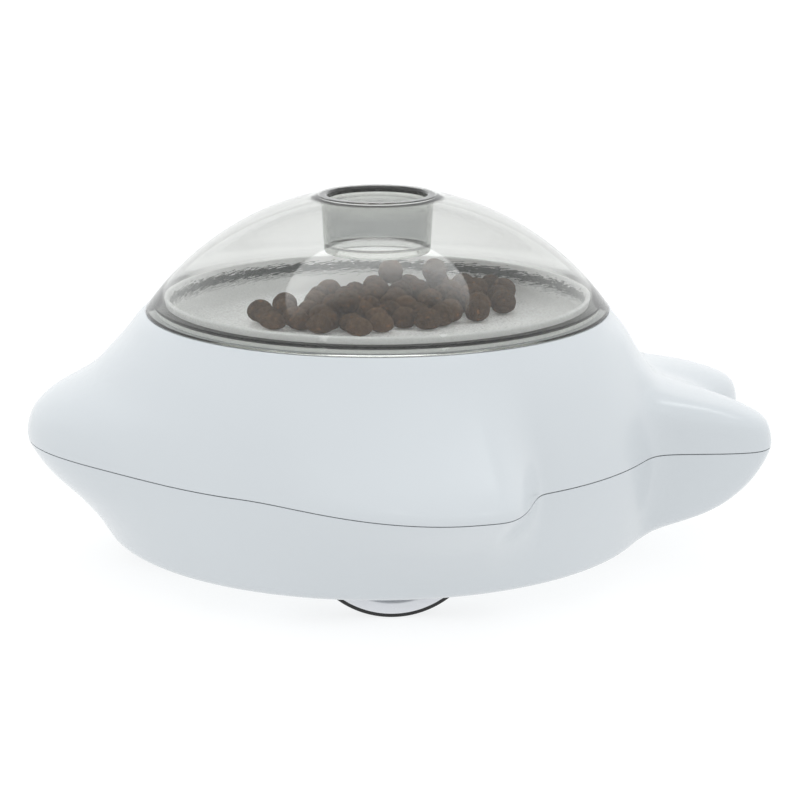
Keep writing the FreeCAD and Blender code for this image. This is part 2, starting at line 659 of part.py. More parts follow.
edgeRadius = "(rim_radius - 0.1)"
domeRadius = f"(({edgeRadius}^2 + dome_rise^2) / (2 * dome_rise))"
domeCentre = f"(rim_height + dome_rise - {domeRadius})"
domeEdge = "(rim_height + seat_gap)"
tubeOuter = "(bore_radius + tube_wall)"
mouthRadius = f"({tubeOuter} + tube_flare)"
mouthHeight = f"({domeCentre} + sqrt({domeRadius}^2 - {mouthRadius}^2))"
tubeFoot = f"({mouthHeight} - tube_length)"
domeCap = both("dome_cap", ball("dome_outer", domeRadius, z=domeCentre),
               drum("dome_blank", edgeRadius, "2 * dome_rise", z=domeEdge))
domeHollow = less("dome_hollow", domeCap, ball("dome_inner", f"{domeRadius} - dome_wall", z=domeCentre))
tube = named("Part::Cone", "dome_tube")
tube.setExpression("Radius1", bound(tubeOuter))
tube.setExpression("Radius2", bound(mouthRadius))
tube.setExpression("Height", bound("tube_length"))
place(tube, z=tubeFoot)
bore = drum("dome_bore", "bore_radius", "2 * tube_length", z=f"{tubeFoot} + lip_height")
lipHole = drum("dome_lip_hole", "bore_radius - lip_width", "2 * tube_length", z=f"{tubeFoot} - {past}")
crown = drum("dome_crown", mouthRadius, "tube_length", z=mouthHeight)
less("dome", joined("dome_whole", domeHollow, tube), bore, lipHole, crown)


# Tray, seal, metering cup, rotor and chute.

trayTop = "(rim_height + tray_lip)"
flangeTop = "(rim_height + flange_thick)"
tray = turned("tray_turned", [
    ("0", "cup_top"), ("tray_side", "cup_top"), ("tray_side", "rim_height"),
    ("tray_side + flange_reach", "rim_height"), ("tray_side + flange_reach", flangeTop),
    ("tray_side", flangeTop), ("tray_side", trayTop), ("tray_side - tray_wall", trayTop),
    ("tray_side - tray_wall", "cup_top + tray_floor"), ("0", "cup_top + tray_floor")])
windowPlace = onCircleWords("pocket_circle", windowTurn)
bored(tray, "tray_window", "XY_Plane", [(*windowPlace, "window_radius")])
blindHoles, flangeHoles = [], []
for k, turn in enumerate(screwTurns, 1):
    spot = onCircleWords("cup_screws_reach", turn)
    blindHoles.append(drum(f"tray_screw_hole_{k}", "screw_radius", "tray_floor - 0.6", *spot, "cup_top"))
    flangeHoles.append((*spot, "screw_radius + hole_gap"))
less("hopper_tray", tray, *blindHoles)

sealInner = "(tray_side + shaft_fit)"
sealBevel = "0.4"
turned("rim_seal", [
    (sealInner, flangeTop), (f"{sealInner} + seal_width", flangeTop),
    (f"{sealInner} + seal_width", f"{flangeTop} + seal_height - {sealBevel}"),
    (f"{sealInner} + seal_width - {sealBevel}", f"{flangeTop} + seal_height"),
    (sealInner, f"{flangeTop} + seal_height")])

shaftBore = "shaft_radius + shaft_fit"
cup = turned("cup_turned", [
    (shaftBore, "cup_under"), ("cup_outer", "cup_under"), ("cup_outer", "cup_top - cup_flange_thick"),
    ("cup_outer + cup_flange", "cup_top - cup_flange_thick"), ("cup_outer + cup_flange", "cup_top"),
    ("cup_inner", "cup_top"), ("cup_inner", "cup_under + cup_floor"), (shaftBore, "cup_under + cup_floor")])
bored(cup, "cup_outlet", "XY_Plane", [("-pocket_circle", "0", "window_radius"), *flangeHoles])
plateScrewPlaces = [("0", "side_post_reach"), ("0", "-side_post_reach"), ("motor_post_reach", "0")]
less("metering_cup", cup, *[drum(f"cup_screw_hole_{k}", "screw_radius", "cup_floor - 0.7", x, y, "cup_under")
                            for k, (x, y) in enumerate(plateScrewPlaces, 1)])

rotor = turned("dispensing_rotor", [
    (shaftBore, "rotor_under"), ("rotor_radius", "rotor_under"),
    ("rotor_radius", "rotor_under + rotor_height"), (shaftBore, "rotor_under + rotor_height")])
pockets = [(*onCircleWords("pocket_circle", 360 * k / pocketCount), "pocket_radius")
           for k in range(pocketCount)]
bored(rotor, "rotor_pockets", "XY_Plane", pockets)

drum("rotor_shaft", "shaft_radius", "cup_top - 2 * run_gap - plate_under", z="plate_under")
turned("chute", [
    ("chute_bore", "chute_foot"), ("chute_bore + chute_wall", "chute_foot"),
    ("chute_bore + chute_wall", "cup_under - seat_gap - chute_flange_thick"),
    ("chute_bore + chute_wall + chute_flange", "cup_under - seat_gap - chute_flange_thick"),
    ("chute_bore + chute_wall + chute_flange", "cup_under - seat_gap"),
    ("chute_bore", "cup_under - seat_gap")], x="-pocket_circle")


def gear(name, teeth, module, bore, firstTooth, boss=0):
    # spur gear, involute flanks drawn at four radii, with a boss on one side
    teeth = int(round(teeth))
    pitch = module * teeth / 2
    baseCircle = pitch * math.cos(math.radians(20))
    root, tip = pitch - 1.2 * module, pitch + 0.85 * module

    def involute(radius):
        angle = math.acos(min(baseCircle / max(radius, baseCircle), 1))
        return math.tan(angle) - angle

    half = math.pi / (2 * teeth) - size.backlash / (2 * pitch) + involute(pitch)
    flank = [(radius, half - involute(radius)) for radius in (root, pitch, (pitch + tip) / 2, tip)]
    points = []
    for tooth in range(teeth):
        middle = firstTooth + 2 * math.pi * tooth / teeth
        outline = [(radius, middle - angle) for radius, angle in flank]
        outline += [(radius, middle + angle) for radius, angle in reversed(flank)]
        points += [FreeCAD.Vector(radius * math.cos(angle), radius * math.sin(angle), 0)
                   for radius, angle in outline]
    teethAround = Part.Face(Part.makePolygon(points + [points[0]]))
    wheel = teethAround.extrude(FreeCAD.Vector(0, 0, size.gear_width))
    if boss:
        wheel = wheel.fuse(rod(root * 0.8, size.gear_width + boss))
    wheel = wheel.cut(rod(bore + size.shaft_fit, beyond, 0, 0, -past))
    piece = named("Part::Feature", name)
    piece.Shape = wheel.removeSplitter()
    return piece


halfPinionTooth = math.pi / size.pinion_teeth
place(gear("rotor_gear", size.gear_teeth, size.rotor_module, size.shaft_radius, 0), z="gear_under")
place(gear("rotor_pinion", size.pinion_teeth, size.rotor_module, size.motor_shaft, halfPinionTooth),
      x="rotor_gears", z="gear_under")

# The gear plate hangs under the cup on three posts and carries the motor.
plateHalf = "(post_radius + 5)"
plateSide = "(side_post_reach + post_radius + 1)"
plateTip = "(motor_post_reach + post_radius + 0.8)"
tipHalf = "(post_radius + 4)"
gearPlate = plate("gear_plate_flat", [
    (f"-{plateHalf}", f"-{plateSide}"), (plateHalf, f"-{plateSide}"), (plateTip, f"-{tipHalf}"),
    (plateTip, tipHalf), (plateHalf, plateSide), (f"-{plateHalf}", plateSide)], "plate_thick",
    [("0", "0", shaftBore), ("rotor_gears", "0", "motor_nose + hole_gap")], z="plate_under")
platePosts, postBores = [], []
for k, (x, y) in enumerate(plateScrewPlaces, 1):
    platePosts.append(drum(f"gear_post_{k}", "post_radius", "cup_under - seat_gap - plate_under",
                           x, y, "plate_under"))
    postBores.append(drum(f"gear_post_bore_{k}", "screw_radius + hole_gap", "2 * cup_under",
                          x, y, f"plate_under - {past}"))
less("gear_plate", joined("gear_plate_whole", gearPlate, *platePosts), *postBores)


def motorAt(name, low, direction, shaftReach):
    # three equal motors, each from its own back end along its shaft
    capHeight, capInset, rounding = 1.5, 2.5, 1
    low, way = FreeCAD.Vector(*low), FreeCAD.Vector(*direction)
    can = Part.makeCylinder(size.motor_radius, size.motor_length - capHeight, low + way * capHeight, way)
    can = can.makeFillet(rounding, [edge for edge in can.Edges if edge.Closed])
    front = low + way * size.motor_length
    nose = Part.makeCylinder(size.motor_nose, size.nose_length, front, way)
    spindle = Part.makeCylinder(size.motor_shaft, shaftReach, front, way)
    cap = Part.makeCylinder(size.motor_radius - capInset, capHeight + 0.1, low, way)
    return solidPiece(name, can.fuse([nose, spindle, cap]))


motorLow = size.plate_under - size.motor_gap - size.motor_length
motorAt("dispense_motor", (size.rotor_gears, 0, motorLow), (0, 0, 1),
        size.motor_gap + size.plate_thick + size.gear_gap + size.gear_width + size.spindle_end)


# Wheels, their gears, axles, motors and brackets. Left is the near side.

axleBore = "axle_radius + shaft_fit"
tyreInner = "(wheel_radius - tyre_wall)"
axleInset = 1            # axle's outer end inside the wheel's face
axleTail = 1.5           # axle beyond its bracket
for side, word in ((-1, "left"), (1, "right")):
    sign = "-" if side < 0 else ""
    outward = (FreeCAD.Vector(1, 0, 0), -90 * side)
    turned(f"wheel_hub_{word}", [
        (axleBore, "0"), ("hub_radius", "0"), ("hub_radius", "2"), (f"{tyreInner} - rim_wall", "2"),
        (f"{tyreInner} - rim_wall", "0"), (tyreInner, "0"), (tyreInner, "wheel_width"),
        (f"{tyreInner} - rim_face", "wheel_width"),
        (f"{tyreInner} - rim_face - 1", "wheel_width - web_depth"),
        ("hub_radius - 1", "wheel_width - web_depth"), ("hub_radius - 2", "wheel_width - 0.5"),
        (axleBore, "wheel_width - 0.5")], y=f"{sign}hub_inner", z="axle_height", turn=outward)
    turned(f"tyre_{word}", [
        (f"{tyreInner} + pin_fit", "tyre_side"), ("wheel_radius - tyre_bevel", "tyre_side"),
        ("wheel_radius", "tyre_side + tyre_bevel"), ("wheel_radius", "wheel_width - tyre_side - tyre_bevel"),
        ("wheel_radius - tyre_bevel", "wheel_width - tyre_side"),
        (f"{tyreInner} + pin_fit", "wheel_width - tyre_side")],
        y=f"{sign}hub_inner", z="axle_height", turn=outward)
    drum(f"axle_{word}", "axle_radius", f"wheel_face - {axleInset} - bracket_face + plate_thick + {axleTail}",
         y=f"{sign}(bracket_face - plate_thick - {axleTail})", z="axle_height", turn=outward)
    driveGear = gear(f"drive_gear_{word}", size.gear_teeth, size.wheel_module, size.axle_radius, 0,
                     size.gear_boss)
    place(driveGear, y=f"{sign}(bracket_face + gear_stand)", z="axle_height", turn=outward)
    pinion = gear(f"drive_pinion_{word}", size.pinion_teeth, size.wheel_module, size.motor_shaft,
                  halfPinionTooth)
    place(pinion, x="wheel_gears", y=f"{sign}(bracket_face + gear_stand)", z="axle_height", turn=outward)
    motorBack = size.bracket_face - size.plate_thick - size.motor_gap - size.motor_length
    motorAt(f"drive_motor_{word}", (size.wheel_gears, side * motorBack, size.axle_height), (0, side, 0),
            size.motor_gap + size.plate_thick + size.gear_stand + size.gear_width + size.spindle_end)
    foot = "(wall + seat_gap - axle_height)"
    back = f"(wheel_gears + motor_radius + {bracket.back})"
    shoulder = f"(motor_radius + {bracket.shoulder})"
    plate(f"motor_bracket_{word}", [
        (f"-{bracket.front}", foot), (back, foot), (back, f"{bracket.shoulder}"),
        (f"wheel_gears + {bracket.back}", shoulder), (f"-{bracket.shoulder}", shoulder),
        (f"-{bracket.front}", f"{bracket.shoulder}")], "plate_thick",
        [("0", "0", "axle_radius + bush_wall + shaft_fit"), ("wheel_gears", "0", "motor_nose + hole_gap")],
        y=f"{sign}bracket_face" + (" + plate_thick" if side < 0 else ""), z="axle_height",
        turn=(FreeCAD.Vector(1, 0, 0), 90))

bushes = []
for side in (-1, 1):
    for near, length in ((size.bracket_face - size.plate_thick, size.plate_thick),
                         (size.well_inner, size.well_wall)):
        at = (0, side * near, size.axle_height, (0, side, 0))
        bushes.append(rod(bushRadius, length, *at).cut(rod(size.axle_radius + size.shaft_fit, length, *at)))
solidPiece("axle_bushes", Part.makeCompound(bushes))


# Caster.

cheekInner = size.caster_width / 2 + size.caster_gap
cheekOuter = cheekInner + size.fork_wall
wheelX = size.caster_trail - size.caster_reach
forkPlateInset = 4       # fork's round plate inside its pocket
cheekHalf = 4
clipLow = stemBossTop + size.head_gap
stemEnd = clipLow + size.clip_thick + 2.2
fork = rod(pocketRadius - forkPlateInset, size.fork_wall, -size.caster_reach, 0, forkTop - size.fork_wall)
fork = fork.fuse(rod(size.stem_radius, stemEnd - forkTop + 1, -size.caster_reach, 0, forkTop - 1))
for side in (-1, 1):
    low, high = sorted((side * cheekInner, side * cheekOuter))
    arm = slab((-size.caster_reach - 3, low, casterAxle + 3), (wheelX + cheekHalf, high, forkTop - 1))
    eye = rod(cheekHalf, high - low, wheelX, low, casterAxle, towardFar)
    neck = slab((wheelX - cheekHalf, low, casterAxle), (wheelX + cheekHalf, high, casterAxle + cheekHalf))
    fork = fork.fuse([arm, eye, neck])
pinStart = (wheelX, -cheekOuter, casterAxle, towardFar)
pinLength = 2 * cheekOuter
fork = fork.cut(rod(size.pin_radius + size.pin_fit, pinLength, *pinStart))
solidPiece("caster_fork", fork.removeSplitter())
solidPiece("caster_pin", rod(size.pin_radius, pinLength, *pinStart))
wheelStart = (wheelX, -size.caster_width / 2, casterAxle, towardFar)
casterWheel = rod(size.caster_radius, size.caster_width, *wheelStart)
casterWheel = casterWheel.makeFillet(1.2, [edge for edge in casterWheel.Edges if edge.Closed])
solidPiece("caster_wheel", casterWheel.cut(rod(size.pin_radius + size.shaft_fit, pinLength, *pinStart)))
clip = rod(size.stem_radius + 2, size.clip_thick, -size.caster_reach, 0, clipLow)
solidPiece("caster_clip", clip.cut(rod(size.stem_radius + size.pin_fit, beyond, -size.caster_reach, 0, 0)))

turned("rear_glide", [
    ("0", "-ride_height"), ("glide_radius - 3", "-ride_height"), ("glide_radius - 1", "1 - ride_height"),
    ("glide_radius", "3.5 - ride_height"), ("glide_radius", "-seat_gap"), (f"{glidePeg.radius}", "-seat_gap"),
    (f"{glidePeg.radius}", f"{glidePeg.top}"), ("0", f"{glidePeg.top}")], x="glide_reach")


# Push button in the tail, its ring, spring and switch.

buttonEnd = size.button_seat + size.button_proud
button = alongButton(size.button_radius, flangeFace, buttonEnd - flangeFace)
button = button.makeFillet(1.5, [edge for edge in button.Edges
                                 if edge.Closed and edge.BoundBox.XMin > flangeFace + 1])
flangeBack = flangeFace - size.button_flange_thick
plungerEnd = switchFace + size.switch_height + size.switch_dot + size.button_travel + size.press_gap
flange = alongButton(size.button_radius + size.button_flange, flangeBack, size.button_flange_thick)
plunger = alongButton(size.plunger_radius, plungerEnd, flangeFace - plungerEnd)
solidPiece("push_button", button.fuse([flange, plunger]))

bezel = alongButton(bezelRadius, size.button_seat, size.bezel_thick)
bezel = bezel.makeFillet(0.5, [edge for edge in bezel.Edges
                               if edge.Closed and edge.BoundBox.XMin > size.button_seat + 0.5])
solidPiece("button_bezel", bezel.cut(buttonBore))
spring = alongButton(size.spring_radius, springFoot, size.spring_length)
solidPiece("button_spring", spring.cut(alongButton(size.spring_radius - size.spring_wire, springFoot,
                                                   size.spring_length)))
solidPiece("button_board", slab((smallBoardLow, -smallBoardHalf, 2 * size.wall),
                                (switchFace, smallBoardHalf, size.seam_height - 1.5)))
touchSwitch = slab((switchFace, -size.switch_half, size.button_height - size.switch_half),
                   (switchFace + size.switch_height, size.switch_half, size.button_height + size.switch_half))
dot = alongButton(1.7, switchFace + size.switch_height - 0.1, size.switch_dot + 0.1)
solidPiece("touch_switch", touchSwitch.fuse(dot))


# Battery, its holder and door, the main board, charge port and power switch.

cellHeight = size.door_thick + size.door_gap + size.cell_rest + size.cell_radius
terminal = 1.5           # cell's shoulder and button end
cellStart = (size.battery_reach, -size.cell_length / 2, cellHeight, towardFar)
cell = rod(size.cell_radius, size.cell_length - terminal, *cellStart)
solidPiece("battery_cell", cell.fuse(rod(3.2, size.cell_length, *cellStart)))

roomX = size.cell_radius + size.cell_fit
roomY = size.cell_length / 2 + size.cell_room
holderTop = cellHeight + size.cell_radius + 2 * size.cell_fit + size.holder_wall
holder = slab((size.battery_reach - doorHalfX, -doorHalfY, size.wall + size.seat_gap),
              (size.battery_reach + doorHalfX, doorHalfY, holderTop))
lowerRoomBox = slab((size.battery_reach - roomX, -roomY, 0), (size.battery_reach + roomX, roomY, cellHeight))
vault = rod(roomX, 2 * roomY, size.battery_reach, -roomY, cellHeight, towardFar)
solidPiece("battery_holder", holder.cut([lowerRoomBox, vault]))
contactLow, contactThick, contactX, contactZ = 0.2, 0.5, 5, 6
contacts = []
for side in (-1, 1):
    near = size.cell_length / 2 + contactLow
    low, high = sorted((side * near, side * (near + contactThick)))
    contacts.append(slab((size.battery_reach - contactX, low, cellHeight - contactZ),
                         (size.battery_reach + contactX, high, cellHeight + contactZ)))
solidPiece("battery_contacts", Part.makeCompound(contacts))

door = slab((size.battery_reach - doorHalfX + size.door_gap, -doorHalfY + size.door_gap, 0),
            (size.battery_reach + doorHalfX - size.door_gap, doorHalfY - size.door_gap, size.door_thick))
tab = slab((size.battery_reach - doorTab.half, doorHalfY - 2, 0),
           (size.battery_reach + doorTab.half, doorHalfY + doorTab.length, size.door_thick))
headDepth = 1            # of the screw head's recess in the door
grips = [slab((size.battery_reach - 6, -doorHalfY + 4 + 3 * k, -past),
              (size.battery_reach + 6, -doorHalfY + 5.4 + 3 * k, 0.6)) for k in range(4)]
door = door.fuse(tab).cut([hole(size.screw_radius + size.hole_gap, size.battery_reach, doorScrewY, beyond),
                           hole(size.head_radius + size.hole_gap, size.battery_reach, doorScrewY, headDepth),
                           *grips])
solidPiece("battery_door", door.removeSplitter())

boardHoles = [("board_hole_x", sign + "board_hole_y", "screw_radius + hole_gap") for sign in ("", "-")]
plate("circuit_board", rectangle("board_length", "board_width"), "board_thick", boardHoles,
      x="board_reach", z="board_height")
boardTop = size.board_height + size.board_thick
chipSizes = [(-12, -12, 8, 8, 1.2), (-11, 6, 5, 6, 1.6), (2, -4, 10, 5, 2.2), (-2, 16, 7, 9, 5),
             (14, 0, 5, 8, 6)]   # each: place along and across the board, length, width, height
chips = []
for x, y, length, width, tall in chipSizes:
    x += size.board_reach
    low = (x - length / 2, y - width / 2, boardTop)
    chips.append(slab(low, (x + length / 2, y + width / 2, boardTop + tall)))
solidPiece("board_parts", Part.makeCompound(chips))


def around(y, half, low, high, margin=0):
    # block about the charge port's or the switch's place in the base
    return slab((size.port_reach - half.x - margin, y - half.y - margin, low),
                (size.port_reach + half.x + margin, y + half.y + margin, high))


portWall, portDepth, portTop = 0.4, 6, 9
socket = around(-size.port_side, portHalf, 0.3, portTop, -size.hole_gap)
socket = socket.cut(around(-size.port_side, portHalf, -past, portDepth, -size.hole_gap - portWall))
tongue = around(-size.port_side, SimpleNamespace(x=0.35, y=3.3), 1, portDepth + 1)
solidPiece("charge_port", socket.fuse(tongue))
caseLow = size.wall + size.seat_gap
caseDepth, caseTop = 3.4, 5
caseHalf = SimpleNamespace(x=slotHalf.x + 1.2, y=slotHalf.y + 2)
switchCase = around(size.port_side, caseHalf, caseLow, caseLow + caseTop)
solidPiece("switch_case", switchCase.cut(around(size.port_side, slotHalf, 0, caseLow + caseDepth)))
sliderY = size.port_side - size.slider_travel / 2
slider = around(sliderY, sliderHalf, 1, caseLow + caseDepth - size.button_fit)
ridges = [around(sliderY + 1.6 * k, SimpleNamespace(x=3, y=0.3), 0, 1.4) for k in (-1, 0, 1)]
solidPiece("power_slider", slider.cut(ridges))


# Fasteners.

def screw(x, y, low, length, up=True):
    # cross-headed screw from the outer face of its head, pointing up or down
    way = 1 if up else -1
    crossLong, crossThin, crossDeep = 1.9, 0.35, 1
    start, axis = FreeCAD.Vector(x, y, low), FreeCAD.Vector(0, 0, way)
    head = Part.makeCylinder(size.head_radius, size.head_height, start, axis)
    head = head.makeFillet(0.4, [edge for edge in head.Edges
                                 if edge.Closed and abs(edge.BoundBox.ZMin - low) < 0.01])
    body = head.fuse(Part.makeCylinder(size.screw_radius - size.seat_gap, length, start, axis))
    bottom, top = sorted((low - past * way, low + crossDeep * way))
    for across, along in ((crossLong, crossThin), (crossThin, crossLong)):
        body = body.cut(slab((x - across, y - along, bottom), (x + across, y + along, top)))
    return body


shellScrews = [screw(x, y, size.head_sink, size.seam_height + 8) for x, y in bossPlaces]
solidPiece("shell_screws", Part.makeCompound(shellScrews))
cupBite = 1.6            # length of a gear plate screw in the cup
plateScrewSpots = [(0, size.side_post_reach), (0, -size.side_post_reach), (size.motor_post_reach, 0)]
plateScrews = [screw(x, y, size.plate_under - size.head_height,
                     size.cup_under - size.plate_under + size.head_height + cupBite)
               for x, y in plateScrewSpots]
solidPiece("gear_plate_screws", Part.makeCompound(plateScrews))
trayBite = 1.4           # length of a cup screw in the tray
cupScrewLow = size.cup_top - size.cup_flange_thick - size.head_height
cupScrews = [screw(*onCircle(size.cup_screws_reach, turn), cupScrewLow,
                   size.cup_flange_thick + size.head_height + trayBite) for turn in screwTurns]
solidPiece("cup_screws", Part.makeCompound(cupScrews))
boardBite = 6            # length of a board screw in its post
boardScrewLength = size.board_thick + size.head_height + boardBite
boardScrews = [screw(x, y, boardTop + size.head_height, boardScrewLength, False) for x, y in boardPosts]
solidPiece("board_screws", Part.makeCompound(boardScrews))
doorScrewLow = headDepth - size.hole_gap / 4 - size.head_height
solidPiece("door_screw", screw(size.battery_reach, doorScrewY, doorScrewLow, doorPost.top - 2))


# Treats: one loose layer on the tray and a few on top.

pile = SimpleNamespace(x=4.5, y=15, long=51, short=29.5, turn=40, count=57, rounds=600)
windowSpot = onCircle(size.pocket_circle, windowTurn)
windowMargin = 0.6       # treat centres stay this far outside the window
onTop = [(-4, 0), (-14, -12), (24, 44), (8, 44), (-26, -4), (30, 14)]
chance = random.Random(4)


def looseBalls():
    # even spiral over the pile's oval, each as (x, y, radius)
    golden = math.pi * (3 - math.sqrt(5))
    lean = math.radians(pile.turn)
    balls = []
    for k in range(pile.count):
        share = math.sqrt((k + 0.5) / pile.count)
        along = pile.long * share * math.cos(k * golden)
        across = pile.short * share * math.sin(k * golden)
        radius = size.treat_radius * chance.uniform(0.96, 1.05)
        x = pile.x + along * math.cos(lean) - across * math.sin(lean) + chance.uniform(-1, 1)
        y = pile.y + along * math.sin(lean) + across * math.cos(lean) + chance.uniform(-1, 1)
        balls.append([x, y, radius])
    return balls


def pushedApart(balls):
    # no two touch, none lies over the window and all stay inside the tray
    room = size.tray_side - size.tray_wall - size.treat_gap
    for _ in range(pile.rounds):
        for i, first in enumerate(balls):
            for second in balls[:i]:
                dx, dy = first[0] - second[0], first[1] - second[1]
                apart = math.hypot(dx, dy)
                least = first[2] + second[2] + size.treat_gap
                if apart < least:
                    share = (least - apart) / 2 / apart
                    first[0] += dx * share
                    first[1] += dy * share
                    second[0] -= dx * share
                    second[1] -= dy * share
        for item in balls:
            dx, dy = item[0] - windowSpot[0], item[1] - windowSpot[1]
            apart = math.hypot(dx, dy)
            short = size.window_radius + windowMargin - apart
            if short > 0:
                item[0] += dx * short / apart
                item[1] += dy * short / apart
            out = math.hypot(item[0], item[1])
            if out + item[2] > room:
                item[0] *= (room - item[2]) / out
                item[1] *= (room - item[2]) / out
    return balls


def onThree(three, radius):
    # centre of a ball that lies on three others, a treat gap clear of each
    centres = [FreeCAD.Vector(*item[:3]) for item in three]
    reach = [item[3] + radius + size.treat_gap for item in three]
    ex = centres[1] - centres[0]
    width = ex.Length
    ex.normalize()
    side = centres[2] - centres[0]
    shift = ex.dot(side)
    ey = (side - ex * shift).normalize()
    depth = ey.dot(side)
    x = (reach[0] ** 2 - reach[1] ** 2 + width ** 2) / (2 * width)
    y = (reach[0] ** 2 - reach[2] ** 2 + shift ** 2 + depth ** 2 - 2 * shift * x) / (2 * depth)
    up = reach[0] ** 2 - x * x - y * y
    if up <= 0:
        return None
    normal = ex.cross(ey)
    return centres[0] + ex * x + ey * y + normal * math.copysign(math.sqrt(up), normal.z)


trayFloorTop = size.cup_top + size.tray_floor
floorGap = 0.02          # under a treat
treats = [(x, y, trayFloorTop + radius + floorGap, radius) for x, y, radius in pushedApart(looseBalls())]
for wantX, wantY in onTop:
    radius = size.treat_radius * chance.uniform(0.97, 1.05)
    near = sorted(treats[:pile.count], key=lambda item: math.hypot(item[0] - wantX, item[1] - wantY))
    spot = onThree(near[:3], radius)
    if spot and min(math.dist(spot, item[:3]) - item[3] - radius for item in treats) > 0.9 * size.treat_gap:
        treats.append((spot.x, spot.y, spot.z, radius))
least = min(math.dist(a[:3], b[:3]) - a[3] - b[3] for i, a in enumerate(treats) for b in treats[:i])
print("treats:", len(treats), "least gap:", round(least, 3))
spheres = [Part.makeSphere(item[3], FreeCAD.Vector(*item[:3])) for item in treats]
solidPiece("treats", Part.makeCompound(spheres))


# Check every object, then write one STEP file for each piece.

doc.recompute()
pieces = [
    "lower_shell", "upper_shell", "dome", "hopper_tray", "rim_seal", "metering_cup", "dispensing_rotor",
    "rotor_shaft", "rotor_gear", "rotor_pinion", "gear_plate", "dispense_motor", "chute",
    "wheel_hub_left", "tyre_left", "axle_left", "drive_gear_left", "drive_pinion_left", "drive_motor_left",
    "motor_bracket_left", "wheel_hub_right", "tyre_right", "axle_right", "drive_gear_right",
    "drive_pinion_right", "drive_motor_right", "motor_bracket_right", "axle_bushes",
    "caster_fork", "caster_wheel", "caster_pin", "caster_clip", "rear_glide",
    "push_button", "button_bezel", "button_spring", "button_board", "touch_switch",
    "battery_cell", "battery_holder", "battery_contacts", "battery_door", "circuit_board", "board_parts",
    "charge_port", "switch_case", "power_slider",
    "shell_screws", "gear_plate_screws", "cup_screws", "board_screws", "door_screw", "treats"]
for item in doc.Objects:
    if {"Invalid", "Error"} & set(item.State):
        raise SystemExit(f"{item.Label} failed: {item.State}")
os.makedirs("parts", exist_ok=True)
for name in pieces:
    shape = doc.getObject(name).Shape
    if shape.isNull() or not shape.isValid():
        raise SystemExit(f"{name} has no valid shape")
    shape.exportStep(os.path.join("parts", name + ".step"))
    print(f"{name}: {len(shape.Solids)} solid(s), {shape.Volume:.0f} mm3")
print("dome axis at x =", size.dome_axis_x, "button seat at", size.button_seat)
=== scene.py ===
import json
import math
import random

import bmesh
import bpy
from mathutils import Matrix, Vector, noise

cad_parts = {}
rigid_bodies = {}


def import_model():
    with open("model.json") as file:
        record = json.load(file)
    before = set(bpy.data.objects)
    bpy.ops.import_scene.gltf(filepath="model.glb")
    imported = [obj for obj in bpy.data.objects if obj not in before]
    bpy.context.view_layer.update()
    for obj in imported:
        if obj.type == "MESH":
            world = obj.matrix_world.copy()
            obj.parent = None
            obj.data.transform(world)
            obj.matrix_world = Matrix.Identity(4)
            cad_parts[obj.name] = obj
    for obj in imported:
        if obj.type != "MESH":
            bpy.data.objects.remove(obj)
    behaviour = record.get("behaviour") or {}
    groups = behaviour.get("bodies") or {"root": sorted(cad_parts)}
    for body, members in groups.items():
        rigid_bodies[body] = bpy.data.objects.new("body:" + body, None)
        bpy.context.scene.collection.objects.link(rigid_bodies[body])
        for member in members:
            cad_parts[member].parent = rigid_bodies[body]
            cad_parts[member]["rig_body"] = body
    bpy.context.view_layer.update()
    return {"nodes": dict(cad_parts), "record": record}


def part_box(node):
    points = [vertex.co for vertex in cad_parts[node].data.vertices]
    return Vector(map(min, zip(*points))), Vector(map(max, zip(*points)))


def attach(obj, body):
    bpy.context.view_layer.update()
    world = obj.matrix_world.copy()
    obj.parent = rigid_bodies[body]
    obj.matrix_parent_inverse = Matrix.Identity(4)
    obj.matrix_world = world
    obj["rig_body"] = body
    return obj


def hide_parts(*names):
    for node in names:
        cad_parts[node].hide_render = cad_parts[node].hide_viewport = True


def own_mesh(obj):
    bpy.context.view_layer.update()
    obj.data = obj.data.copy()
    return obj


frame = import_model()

nodes = frame["nodes"]
mm = 0.001
domeLow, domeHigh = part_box("dome")
axisX = (domeLow.x + domeHigh.x) / 2     # the dome, tray, seal and rotor share this axis


# Camera, at the photograph's viewing angle

cameraSetup = {
    "place": (-0.0577, -0.7952, 0.2481),
    "pitch": 14.2,        # degrees below level
    "yaw": 4.3,           # degrees, so the nose comes a little nearer
    "lens": 112.4,
    "shiftY": 0.0161,
}


def makeCamera():
    data = bpy.data.cameras.new("viewCamera")
    data.lens = cameraSetup["lens"]
    data.sensor_width = 36
    data.shift_y = cameraSetup["shiftY"]
    camera = bpy.data.objects.new("viewCamera", data)
    bpy.context.scene.collection.objects.link(camera)
    camera.location = cameraSetup["place"]
    pitch, yaw = math.radians(90 - cameraSetup["pitch"]), math.radians(cameraSetup["yaw"])
    camera.rotation_euler = (pitch, 0, -yaw)
    bpy.context.scene.camera = camera


makeCamera()
print("camera in place")


# Node helpers that every finish uses. Grain sizes are in metres.

def startMaterial(name):
    material = bpy.data.materials.new(name)
    material.use_nodes = True
    return material, material.node_tree, material.node_tree.nodes["Principled BSDF"]


def pieceSpace(tree, stretch=(1, 1, 1)):
    # coordinates fixed to the piece, squeezed along an axis where the grain runs long
    coordinate = tree.nodes.new("ShaderNodeTexCoord")
    mapping = tree.nodes.new("ShaderNodeMapping")
    mapping.inputs["Scale"].default_value = stretch
    tree.links.new(coordinate.outputs["Object"], mapping.inputs["Vector"])
    return mapping.outputs["Vector"]


def grainNoise(tree, grain, detail=3, stretch=(1, 1, 1)):
    texture = tree.nodes.new("ShaderNodeTexNoise")
    texture.inputs["Scale"].default_value = 1 / grain
    texture.inputs["Detail"].default_value = detail
    tree.links.new(pieceSpace(tree, stretch), texture.inputs["Vector"])
    return texture.outputs["Fac"]


